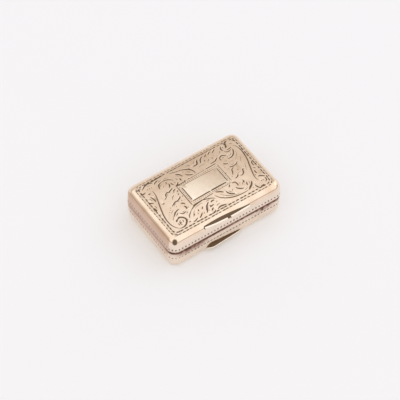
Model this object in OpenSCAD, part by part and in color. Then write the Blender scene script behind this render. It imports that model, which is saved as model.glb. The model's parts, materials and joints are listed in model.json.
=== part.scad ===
// Vinaigrette: a small hinged cushion box with a pierced grille over a scented sponge.
// Frame: origin at the middle of the flat underside, X along the length,
// front at -Y, hinge at +Y, +Z up. Millimetres.

/* [Box] */
// Length of the box at the seam
box_l = 36; // [30:0.5:50]
// Width of the box at the seam, front to back
box_w = 23.4; // [20:0.1:34]
// Depth of the base, underside to seam
base_h = 6.2; // [5:0.1:8]
// Depth of the lid, seam to top
lid_h = 5; // [5:0.1:8]
// Corner radius in plan at the seam
corner_r = 2.7; // [2.5:0.1:4]
// Radius of the rolled shoulder at the top and the underside
shoulder_r = 1.8; // [1.2:0.1:2]
// Lean of the walls out towards the seam, in degrees
wall_lean = 4; // [1:0.5:6]
// Thickness of the silver sheet
sheet_t = 0.5; // [0.4:0.05:0.6]
// Gap between the rims of the closed lid and the base
seam_gap = 0.3; // [0.1:0.05:0.4]

/* [Bezel] */
// Thickness of the upright strip that the lid closes over
bezel_t = 0.4; // [0.3:0.05:0.6]
// Height of the strip above the seam
bezel_above = 1; // [0.8:0.05:1.3]
// Depth of the strip below the seam
bezel_below = 1.4; // [1:0.1:1.6]
// Clearance between the strip and the lid wall
lid_clear = 0.12; // [0.08:0.02:0.25]

/* [Thumb lips] */
// Length of the lid lip along the front
lid_lip_l = 14.8; // [10:0.1:18]
// Length of the base lip along the front
base_lip_l = 11.6; // [8:0.1:18]
// Place of the lid lip's middle along the front
lid_lip_x = -0.3; // [-1.5:0.1:1.5]
// Place of the base lip's middle along the front
base_lip_x = -1.3; // [-3:0.1:1.5]
// Radius of the lips' front corners
lip_r = 0.6; // [0.3:0.1:1]
// Reach of the lid lip past the seam line
lid_lip_reach = 0.5; // [0.2:0.05:0.8]
// Thickness of the lid lip
lid_lip_t = 0.75; // [0.5:0.05:1.2]
// Drop from the top of the lid to the top of the lid lip
lid_lip_drop = 0.7; // [0.5:0.05:1]
// Tilt of the lid lip along the front, in degrees
lid_lip_tilt = 2; // [0:0.5:3]
// Depth of the notch in the middle of the lid lip
lip_notch = 0.5; // [0.3:0.05:0.6]
// Reach of the base lip past the seam line
base_lip_reach = 0.3; // [0.2:0.05:0.8]
// Thickness of the base lip
base_lip_t = 0.4; // [0.3:0.05:0.8]
// Height of the base lip's underside above the table
base_lip_z = 1.1; // [0.8:0.05:1.8]

/* [Lid hinge] */
// Distance from the ends of the box to the row of hinge knuckles
hinge_margin = 5; // [4.5:0.5:9]
// Outer radius of the hinge knuckles
knuckle_r = 0.8; // [0.7:0.05:0.9]
// Distance of the hinge axis behind the seam line
hinge_out = 0.32; // [0.3:0.02:0.5]
// Radius of the hinge pin
pin_r = 0.35; // [0.25:0.05:0.4]
// Clearance round the hinge pin
pin_clear = 0.03; // [0.02:0.01:0.05]
// Length of the plugs that hide the pin's ends
plug_l = 1; // [0.6:0.1:1.6]
// Side gap between neighbouring knuckles
knuckle_gap = 0.12; // [0.08:0.02:0.2]
// Clearance of a wall round the other half's knuckles
swing_clear = 0.15; // [0.1:0.01:0.2]
// Room left for solder between pieces that are fixed together
solder_gap = 0.02; // [0.01:0.01:0.03]

/* [Grille] */
// Thickness of the pierced plate
grille_t = 0.4; // [0.3:0.05:0.5]
// Gap between the plate's edge and the bezel
grille_gap = 0.25; // [0.15:0.05:0.4]
// Height of the grille's middle plane above the seam
grille_rise = 0.4; // [0.3:0.05:0.5]
// Width of the stiffening strip under the plate
frame_w = 0.7; // [0.5:0.1:1]
// Height of the stiffening strip under the plate
frame_h = 0.5; // [0.4:0.05:0.6]
// Outer radius of the grille's hinge knuckles
grille_knuckle_r = 0.5; // [0.45:0.05:0.55]
// Radius of the grille's hinge pin
grille_pin_r = 0.2; // [0.15:0.05:0.25]
// Length of each of the grille's three knuckles
grille_knuckle_l = 4; // [3:0.5:6]
// Reach of the hinge leaf under the plate
leaf_reach = 1.4; // [1:0.1:2]
// Width of the lifting tab
tab_w = 3; // [2:0.5:5]
// Height of the lifting tab above the plate
tab_h = 0.9; // [0.6:0.1:1.2]
// Thickness of the lifting tab
tab_t = 0.4; // [0.3:0.05:0.6]

/* [Piercing] */
// Diameter of the holes round the border
border_hole_d = 0.9; // [0.6:0.1:1.2]
// Pitch of the holes round the border
border_pitch = 1.7; // [1.4:0.1:2.4]
// Distance from the plate's edge to the border holes
border_inset = 1.5; // [1.4:0.1:2]
// Length of the petals of the centre flower
petal_l = 3; // [2:0.1:3.4]
// Width of the petals of the centre flower
petal_w = 1.2; // [0.8:0.1:1.4]
// Number of petals
petals = 8; // [6:1:10]
// Radius of the pierced scrolls
scroll_r = 1.9; // [1.4:0.1:2.2]
// Width of the pierced scrolls
scroll_w = 0.7; // [0.5:0.1:0.9]
// Turn of the pierced scrolls, in degrees
scroll_turn = 250; // [180:10:280]
// Tilt of the scrolls' open ends, in degrees
scroll_tilt = -40; // [-90:5:0]
// Radius of the scrolls' round eyes
scroll_eye_r = 0.4; // [0.3:0.05:0.6]
// Radius of the flower's round eye
flower_eye_r = 0.7; // [0.4:0.05:0.9]
// Tilt of the leaves beside the scrolls, in degrees
leaf_tilt = 25; // [0:5:45]
// Lift of the leaves beside the scrolls, towards the border
leaf_lift = 0.6; // [0:0.1:1]
// Shift of the leaves at the two ends, towards the border
end_leaf_shift = 0.4; // [0:0.1:0.8]

/* [Bearers and sponge] */
// Length of the bearers at the two ends
end_bearer_l = 10; // [6:0.5:14]
// Length of the bearer at the front
front_bearer_l = 14; // [8:0.5:20]
// Reach of the bearers in from the bezel
bearer_w = 0.6; // [0.4:0.1:0.8]
// Height of the bearers
bearer_h = 0.5; // [0.4:0.1:0.6]
// Clearance between the grille and its bearers
bearer_clear = 0.1; // [0.05:0.01:0.15]
// Gap round the sponge
sponge_gap = 0.4; // [0.2:0.05:0.8]
// Clearance between the sponge and the base's floor
sponge_seat = 0.05; // [0.02:0.01:0.1]
// Corner radius of the sponge
sponge_r = 1.5; // [1:0.1:2.5]

/* [Hidden] */
$fn = 96;
silver = [0.86, 0.80, 0.72];
gilt = [0.86, 0.68, 0.38];
sponge_tan = [0.80, 0.66, 0.42];

// Heights
seam_z = base_h;
top_z = base_h + lid_h;
base_rim_z = seam_z - seam_gap / 2;
lid_rim_z = seam_z + seam_gap / 2;

// Wall section: u runs outwards from the corner's axis, and the wall line is a tangent
// from the shoulder's arc to the seam's outer edge
skin_t = sheet_t / cos(wall_lean);
function wall_u(rise) = corner_r - rise * tan(wall_lean);
function arc_u(depth) =
    wall_u(depth - shoulder_r + shoulder_r * sin(wall_lean)) - shoulder_r * cos(wall_lean);
lid_arc_u = arc_u(lid_h);
base_arc_u = arc_u(base_h);

// Inside of the bezel, where the grille lies
bezel_out_u = corner_r - skin_t - lid_clear;
bezel_in_u = bezel_out_u - bezel_above * tan(wall_lean) - bezel_t;
inside_l = box_l - 2 * (corner_r - bezel_in_u);
inside_w = box_w - 2 * (corner_r - bezel_in_u);

// Lid hinge
hinge_y = box_w / 2 + hinge_out;
hinge_l = box_l - 2 * hinge_margin;
knuckles = 5;
knuckle_l = (hinge_l - (knuckles - 1) * knuckle_gap) / knuckles;
bore_r = pin_r + pin_clear;
function knuckle_x(i) = -hinge_l / 2 + i * (knuckle_l + knuckle_gap);
base_knuckles = [0, 2, 4];
lid_knuckles = [1, 3];

// Grille
grille_z = seam_z + grille_rise;
grille_axis_y = inside_w / 2 - solder_gap - grille_knuckle_r;
grille_l = inside_l - 2 * grille_gap;
grille_front_y = -inside_w / 2 + grille_gap;
grille_back_y = grille_axis_y - grille_knuckle_r - swing_clear;
grille_w = grille_back_y - grille_front_y;
grille_mid_y = (grille_back_y + grille_front_y) / 2;
grille_r = bezel_in_u - grille_gap;
frame_z = grille_z - grille_t / 2 - frame_h;
bearer_z = frame_z - bearer_clear - bearer_h;
grille_bore_r = grille_pin_r + pin_clear;
grille_hinge_l = 3 * grille_knuckle_l + 2 * knuckle_gap;
function grille_knuckle_x(i) = -grille_hinge_l / 2 + i * (grille_knuckle_l + knuckle_gap);

// Sponge
sponge_l = box_l - 2 * (corner_r - base_arc_u) - 2 * sponge_gap;
sponge_w = box_w - 2 * (corner_r - base_arc_u) - 2 * sponge_gap;
sponge_z = sheet_t + sponge_seat;
sponge_h = bearer_z - sponge_gap / 2 - sponge_z;

// Run of one side between its corners, counted from the right-hand end round by the back
function run_l(side) = (side % 2 == 0 ? box_w : box_l) - 2 * corner_r;
function run_out(side) = (side % 2 == 0 ? box_l : box_w) / 2 - corner_r;
front = 3;

// Sweep a section, x outwards and y up, along one side
module side_sweep(side) {
    rotate(90 * side) translate([run_out(side), run_l(side) / 2, 0])
        rotate([90, 0, 0]) linear_extrude(run_l(side)) children();
}

// Sweep a section round the corner at the end of one side
module corner_sweep(side) {
    rotate(90 * side) translate([run_out(side), run_l(side) / 2, 0])
        rotate_extrude(angle = 90) children();
}

module sweep_round() {
    for (side = [0:3]) {
        side_sweep(side) children();
        corner_sweep(side) children();
    }
}

// Flat middle of a plate, inside the corner axes
module plate_core(z, t) {
    translate([-box_l / 2 + corner_r, -box_w / 2 + corner_r, z])
        cube([box_l - 2 * corner_r, box_w - 2 * corner_r, t]);
}

// Section of a plate with its rolled shoulder, for a shell that opens downwards
module plate_section(arc_c, z) {
    translate([0, z - sheet_t]) square([arc_c, sheet_t]);
    intersection() {
        translate([arc_c, z - shoulder_r]) difference() {
            circle(r = shoulder_r);
            circle(r = shoulder_r - sheet_t);
        }
        translate([arc_c, z - shoulder_r]) polygon([
            [0, 0], [2 * shoulder_r * cos(wall_lean), 2 * shoulder_r * sin(wall_lean)],
            [2 * shoulder_r, 2 * shoulder_r], [0, 2 * shoulder_r]
        ]);
    }
}

// Section of a wall from the shoulder down to its rim, as heights above the seam
module wall_section(arc_c, depth, rim) {
    arc_h = depth - shoulder_r;
    polygon([
        [arc_c + shoulder_r * cos(wall_lean), arc_h + shoulder_r * sin(wall_lean)],
        [wall_u(rim), rim], [wall_u(rim) - skin_t, rim],
        [arc_c + (shoulder_r - sheet_t) * cos(wall_lean),
            arc_h + (shoulder_r - sheet_t) * sin(wall_lean)]
    ]);
}

// Solid outside of one front wall and its shoulder, grown by the solder gap
module front_outside(arc_c, depth) {
    g = solder_gap;
    side_sweep(front) {
        translate([arc_c, depth - shoulder_r]) circle(r = shoulder_r + g);
        polygon([
            [0, 0], [corner_r + g / cos(wall_lean), 0],
            [arc_c + (shoulder_r + g) * cos(wall_lean),
                depth - shoulder_r + (shoulder_r + g) * sin(wall_lean)],
            [arc_c, depth + g], [0, depth + g]
        ]);
    }
}

// Half shells: the base is the lid's form turned over
module turned_over() {
    translate([0, 0, seam_z]) mirror([0, 0, 1]) children();
}

// Grooves in a back wall for the knuckles named, round the hinge axis
module knuckle_grooves(list, clear, side_gap) {
    for (i = list) translate([knuckle_x(i) - side_gap, hinge_y, seam_z])
        rotate([0, 90, 0]) cylinder(r = knuckle_r + clear, h = knuckle_l + 2 * side_gap);
}

module tube_x(x, y, z, r, bore, l) {
    translate([x, y, z]) rotate([0, 90, 0]) difference() {
        cylinder(r = r, h = l);
        translate([0, 0, -1]) cylinder(r = bore, h = l + 2);
    }
}

module rod_x(x, y, z, r, l) {
    translate([x, y, z]) rotate([0, 90, 0]) cylinder(r = r, h = l);
}

// Flat plate with rounded corners, made of two bars and four discs
module rounded_slab(l, w, r, t) {
    translate([-l / 2 + r, -w / 2, 0]) cube([l - 2 * r, w, t]);
    translate([-l / 2, -w / 2 + r, 0]) cube([l, w - 2 * r, t]);
    for (sx = [-1, 1], sy = [-1, 1])
        translate([sx * (l / 2 - r), sy * (w / 2 - r), 0]) cylinder(r = r, h = t);
}

// Bar along the front with round front corners, deep enough to reach through the wall
module lip_bar(l, x, reach, z, t, tilt = 0) {
    depth = reach + corner_r;
    translate([x, -box_w / 2 - reach, z]) rotate([0, tilt, 0]) {
        translate([-l / 2, lip_r, 0]) cube([l, depth - lip_r, t]);
        translate([-l / 2 + lip_r, 0, 0]) cube([l - 2 * lip_r, depth, t]);
        for (s = [-1, 1]) translate([s * (l / 2 - lip_r), lip_r, 0])
            cylinder(r = lip_r, h = t);
    }
}

module base_bottom() {
    color(silver) turned_over() {
        plate_core(base_h - sheet_t, sheet_t);
        sweep_round() plate_section(base_arc_u, base_h);
    }
}

module base_wall() {
    color(silver) difference() {
        turned_over() sweep_round() wall_section(base_arc_u, base_h, seam_gap / 2);
        knuckle_grooves(base_knuckles, solder_gap, knuckle_gap / 2);
        knuckle_grooves(lid_knuckles, swing_clear, knuckle_gap / 2);
    }
}

module base_bezel() {
    foot_u = wall_u(bezel_below) - skin_t - solder_gap;
    color(gilt) translate([0, 0, seam_z]) sweep_round() polygon([
        [bezel_in_u, -bezel_below], [foot_u, -bezel_below],
        [wall_u(seam_gap / 2) - skin_t - solder_gap, -seam_gap / 2],
        [bezel_out_u, -seam_gap / 2],
        [bezel_out_u - bezel_above * tan(wall_lean), bezel_above],
        [bezel_in_u, bezel_above]
    ]);
}

module base_thumb_lip() {
    color(silver) difference() {
        lip_bar(base_lip_l, base_lip_x, base_lip_reach, base_lip_z, base_lip_t);
        turned_over() front_outside(base_arc_u, base_h);
    }
}

module base_hinge_knuckle(i) {
    color(silver) tube_x(knuckle_x(i), hinge_y, seam_z, knuckle_r, bore_r, knuckle_l);
}

module lid_hinge_knuckle(i) {
    color(silver) tube_x(knuckle_x(i), hinge_y, seam_z, knuckle_r, bore_r, knuckle_l);
}

module lid_hinge_pin() {
    color(gilt) rod_x(-hinge_l / 2 + plug_l, hinge_y, seam_z, pin_r, hinge_l - 2 * plug_l);
}

module hinge_plug(side) {
    middle_x = side * (hinge_l - plug_l + solder_gap) / 2;
    color(silver) rod_x(middle_x - (plug_l - solder_gap) / 2, hinge_y, seam_z,
        pin_r + pin_clear - solder_gap, plug_l - solder_gap);
}

module lid_top() {
    color(silver) translate([0, 0, seam_z]) {
        plate_core(lid_h - sheet_t, sheet_t);
        sweep_round() plate_section(lid_arc_u, lid_h);
    }
}

module lid_wall() {
    color(silver) difference() {
        translate([0, 0, seam_z]) sweep_round() wall_section(lid_arc_u, lid_h, seam_gap / 2);
        knuckle_grooves(lid_knuckles, solder_gap, knuckle_gap / 2);
        knuckle_grooves(base_knuckles, swing_clear, knuckle_gap / 2);
    }
}

module lid_thumb_lip() {
    lip_z = top_z - lid_lip_drop - lid_lip_t;
    color(silver) difference() {
        lip_bar(lid_lip_l, lid_lip_x, lid_lip_reach, lip_z, lid_lip_t, lid_lip_tilt);
        translate([0, 0, seam_z]) front_outside(lid_arc_u, lid_h);
        translate([0, -box_w / 2 - lid_lip_reach, lip_z + lid_lip_t / 2]) rotate(45)
            cube([lip_notch * sqrt(2), lip_notch * sqrt(2), 2 * lid_lip_t], center = true);
    }
}

// Pointed leaf: two arcs that meet at both tips
module leaf(l, w) {
    arc_r = (l * l / 4 + w * w / 4) / w;
    translate([0, 0, -grille_t]) linear_extrude(2 * grille_t) intersection() {
        translate([0, arc_r - w / 2]) circle(r = arc_r);
        translate([0, w / 2 - arc_r]) circle(r = arc_r);
    }
}

// Curl cut right through the plate, with a round eye at its inner end
module curl() {
    translate([0, 0, -grille_t]) {
        rotate_extrude(angle = scroll_turn) translate([scroll_r - scroll_w / 2, 0])
            square([scroll_w, 2 * grille_t]);
        for (a = [0, scroll_turn]) rotate(a) translate([scroll_r, 0, 0])
            cylinder(r = scroll_w / 2, h = 2 * grille_t);
        cylinder(r = scroll_eye_r, h = 2 * grille_t);
    }
}

// Row of holes along X, centred
module hole_row(l, d) {
    count = floor(l / border_pitch);
    step = l / count;
    for (i = [0:count]) translate([-l / 2 + i * step, 0, -grille_t])
        cylinder(d = d, h = 2 * grille_t);
}

module piercing() {
    row_l = grille_l - 2 * border_inset;
    row_w = grille_w - 2 * border_inset;
    for (s = [-1, 1]) {
        translate([0, s * row_w / 2, 0]) hole_row(row_l, border_hole_d);
        translate([s * row_l / 2, 0, 0]) rotate(90)
            hole_row(row_w - 2 * border_pitch, border_hole_d);
    }
    translate([0, 0, -grille_t]) cylinder(r = flower_eye_r, h = 2 * grille_t);
    for (i = [0:petals - 1]) rotate(i * 360 / petals)
        translate([petal_w + petal_l / 2, 0, 0]) leaf(petal_l, petal_w);
    scroll_x = row_l / 2 - border_pitch - scroll_r - scroll_w / 2;
    scroll_y = row_w / 2 - border_pitch - scroll_r - scroll_w / 2 + border_hole_d / 2;
    for (sx = [0, 1], sy = [0, 1]) mirror([sx, 0, 0]) mirror([0, sy, 0]) {
        translate([scroll_x, scroll_y, 0]) rotate(scroll_tilt) curl();
        translate([scroll_x - 2 * scroll_r - scroll_w, scroll_y + leaf_lift, 0])
            rotate(leaf_tilt) leaf(petal_l, petal_w);
    }
    for (s = [-1, 1]) translate([s * (scroll_x + end_leaf_shift), 0, 0])
        leaf(petal_l, petal_w);
}

module grille_plate() {
    color(gilt) translate([0, grille_mid_y, grille_z]) difference() {
        translate([0, 0, -grille_t / 2]) rounded_slab(grille_l, grille_w, grille_r, grille_t);
        piercing();
    }
}

module grille_frame() {
    strip_l = grille_w - grille_r;
    color(gilt) translate([0, 0, frame_z]) {
        for (s = [-1, 1])
            translate([s * (grille_l - frame_w) / 2 - frame_w / 2, grille_front_y + grille_r, 0])
                cube([frame_w, strip_l, frame_h]);
        translate([-grille_l / 2 + grille_r, grille_front_y, 0])
            cube([grille_l - 2 * grille_r, frame_w, frame_h]);
        for (s = [0, 1]) mirror([s, 0, 0])
            translate([grille_l / 2 - grille_r, grille_front_y + grille_r, 0]) rotate(-90)
                rotate_extrude(angle = 90) translate([grille_r - frame_w, 0])
                    square([frame_w, frame_h]);
    }
}

module grille_hinge_knuckle() {
    x = grille_knuckle_x(1);
    leaf_t = grille_knuckle_r - grille_t / 2;
    color(gilt) difference() {
        union() {
            rod_x(x, grille_axis_y, grille_z, grille_knuckle_r, grille_knuckle_l);
            translate([x, grille_back_y - leaf_reach, grille_z - grille_knuckle_r])
                cube([grille_knuckle_l, leaf_reach + grille_axis_y - grille_back_y, leaf_t]);
        }
        rod_x(x - 1, grille_axis_y, grille_z, grille_bore_r, grille_knuckle_l + 2);
    }
}

module grille_hinge_lug(i) {
    color(gilt) tube_x(grille_knuckle_x(i), grille_axis_y, grille_z, grille_knuckle_r,
        grille_bore_r, grille_knuckle_l);
}

module grille_hinge_pin() {
    color(silver) rod_x(-grille_hinge_l / 2, grille_axis_y, grille_z, grille_pin_r,
        grille_hinge_l);
}

module grille_lift_tab() {
    tab_y = grille_front_y + border_inset - border_hole_d / 2 - tab_t;
    round_r = tab_w / 2;
    color(gilt) translate([0, tab_y, grille_z + grille_t / 2]) intersection() {
        translate([0, tab_t, tab_h - round_r]) rotate([90, 0, 0])
            cylinder(r = round_r, h = tab_t);
        translate([-tab_w / 2, 0, 0]) cube([tab_w, tab_t, tab_h]);
    }
}

module end_bearer(side) {
    edge_x = inside_l / 2 - solder_gap - bearer_w;
    color(gilt) translate([side * (edge_x + bearer_w / 2), 0, bearer_z + bearer_h / 2])
        cube([bearer_w, end_bearer_l, bearer_h], center = true);
}

module grille_bearer_front() {
    color(gilt) translate([-front_bearer_l / 2, -inside_w / 2 + solder_gap, bearer_z])
        cube([front_bearer_l, bearer_w, bearer_h]);
}

module sponge() {
    color(sponge_tan) translate([0, 0, sponge_z])
        rounded_slab(sponge_l, sponge_w, sponge_r, sponge_h);
}

base_bottom();
base_wall();
base_bezel();
base_thumb_lip();
base_hinge_knuckle(0);  // base_hinge_knuckle_left
base_hinge_knuckle(2);  // base_hinge_knuckle_middle
base_hinge_knuckle(4);  // base_hinge_knuckle_right
lid_hinge_pin();
hinge_plug(-1);  // hinge_plug_left
hinge_plug(1);  // hinge_plug_right
lid_top();
lid_wall();
lid_thumb_lip();
lid_hinge_knuckle(1);  // lid_hinge_knuckle_left
lid_hinge_knuckle(3);  // lid_hinge_knuckle_right
grille_plate();
grille_frame();
grille_hinge_knuckle();
grille_lift_tab();
grille_hinge_lug(0);  // grille_hinge_lug_left
grille_hinge_lug(2);  // grille_hinge_lug_right
grille_hinge_pin();
end_bearer(-1);  // grille_bearer_left
end_bearer(1);  // grille_bearer_right
grille_bearer_front();
sponge();
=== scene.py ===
"""Looks of a small engraved silver vinaigrette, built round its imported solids.

Sizes in the code and the engraving are millimetres, and MM turns them to metres.
"""
import json
import math

import bpy
import bmesh
import numpy as np
from mathutils import Matrix, Vector
from mathutils.geometry import delaunay_2d_cdt


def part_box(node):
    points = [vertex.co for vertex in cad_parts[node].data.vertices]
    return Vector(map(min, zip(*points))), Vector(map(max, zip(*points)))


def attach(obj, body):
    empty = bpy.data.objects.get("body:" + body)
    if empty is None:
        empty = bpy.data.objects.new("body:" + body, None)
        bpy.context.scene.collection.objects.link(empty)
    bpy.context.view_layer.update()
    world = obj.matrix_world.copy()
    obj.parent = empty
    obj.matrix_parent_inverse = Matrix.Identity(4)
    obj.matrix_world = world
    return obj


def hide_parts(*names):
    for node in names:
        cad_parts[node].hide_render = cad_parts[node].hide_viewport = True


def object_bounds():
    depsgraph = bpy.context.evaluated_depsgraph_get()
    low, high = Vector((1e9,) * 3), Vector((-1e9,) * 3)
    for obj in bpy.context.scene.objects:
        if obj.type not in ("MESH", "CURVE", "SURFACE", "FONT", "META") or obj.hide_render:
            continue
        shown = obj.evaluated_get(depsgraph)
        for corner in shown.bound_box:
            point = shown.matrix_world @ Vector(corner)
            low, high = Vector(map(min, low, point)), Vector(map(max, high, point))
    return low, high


bl_info = {
    "name": "Silver vinaigrette",
    "version": (1, 0, 0),
    "blender": (4, 5, 0),
    "location": "3D View > Sidebar > Vinaigrette",
    "description": "Dresses a hinged silver scent box with engraving, gilding and a sponge",
    "category": "Add Mesh",
}

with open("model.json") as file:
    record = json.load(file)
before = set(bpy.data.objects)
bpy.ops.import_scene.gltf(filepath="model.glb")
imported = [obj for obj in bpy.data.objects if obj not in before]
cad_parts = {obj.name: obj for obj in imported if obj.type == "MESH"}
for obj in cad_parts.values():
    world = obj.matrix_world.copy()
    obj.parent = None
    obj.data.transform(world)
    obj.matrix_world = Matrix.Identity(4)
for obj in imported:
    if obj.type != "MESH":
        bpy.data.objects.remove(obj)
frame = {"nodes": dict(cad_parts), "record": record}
CAD_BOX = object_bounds()
MM = 0.001

# Engraving of the lid

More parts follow.
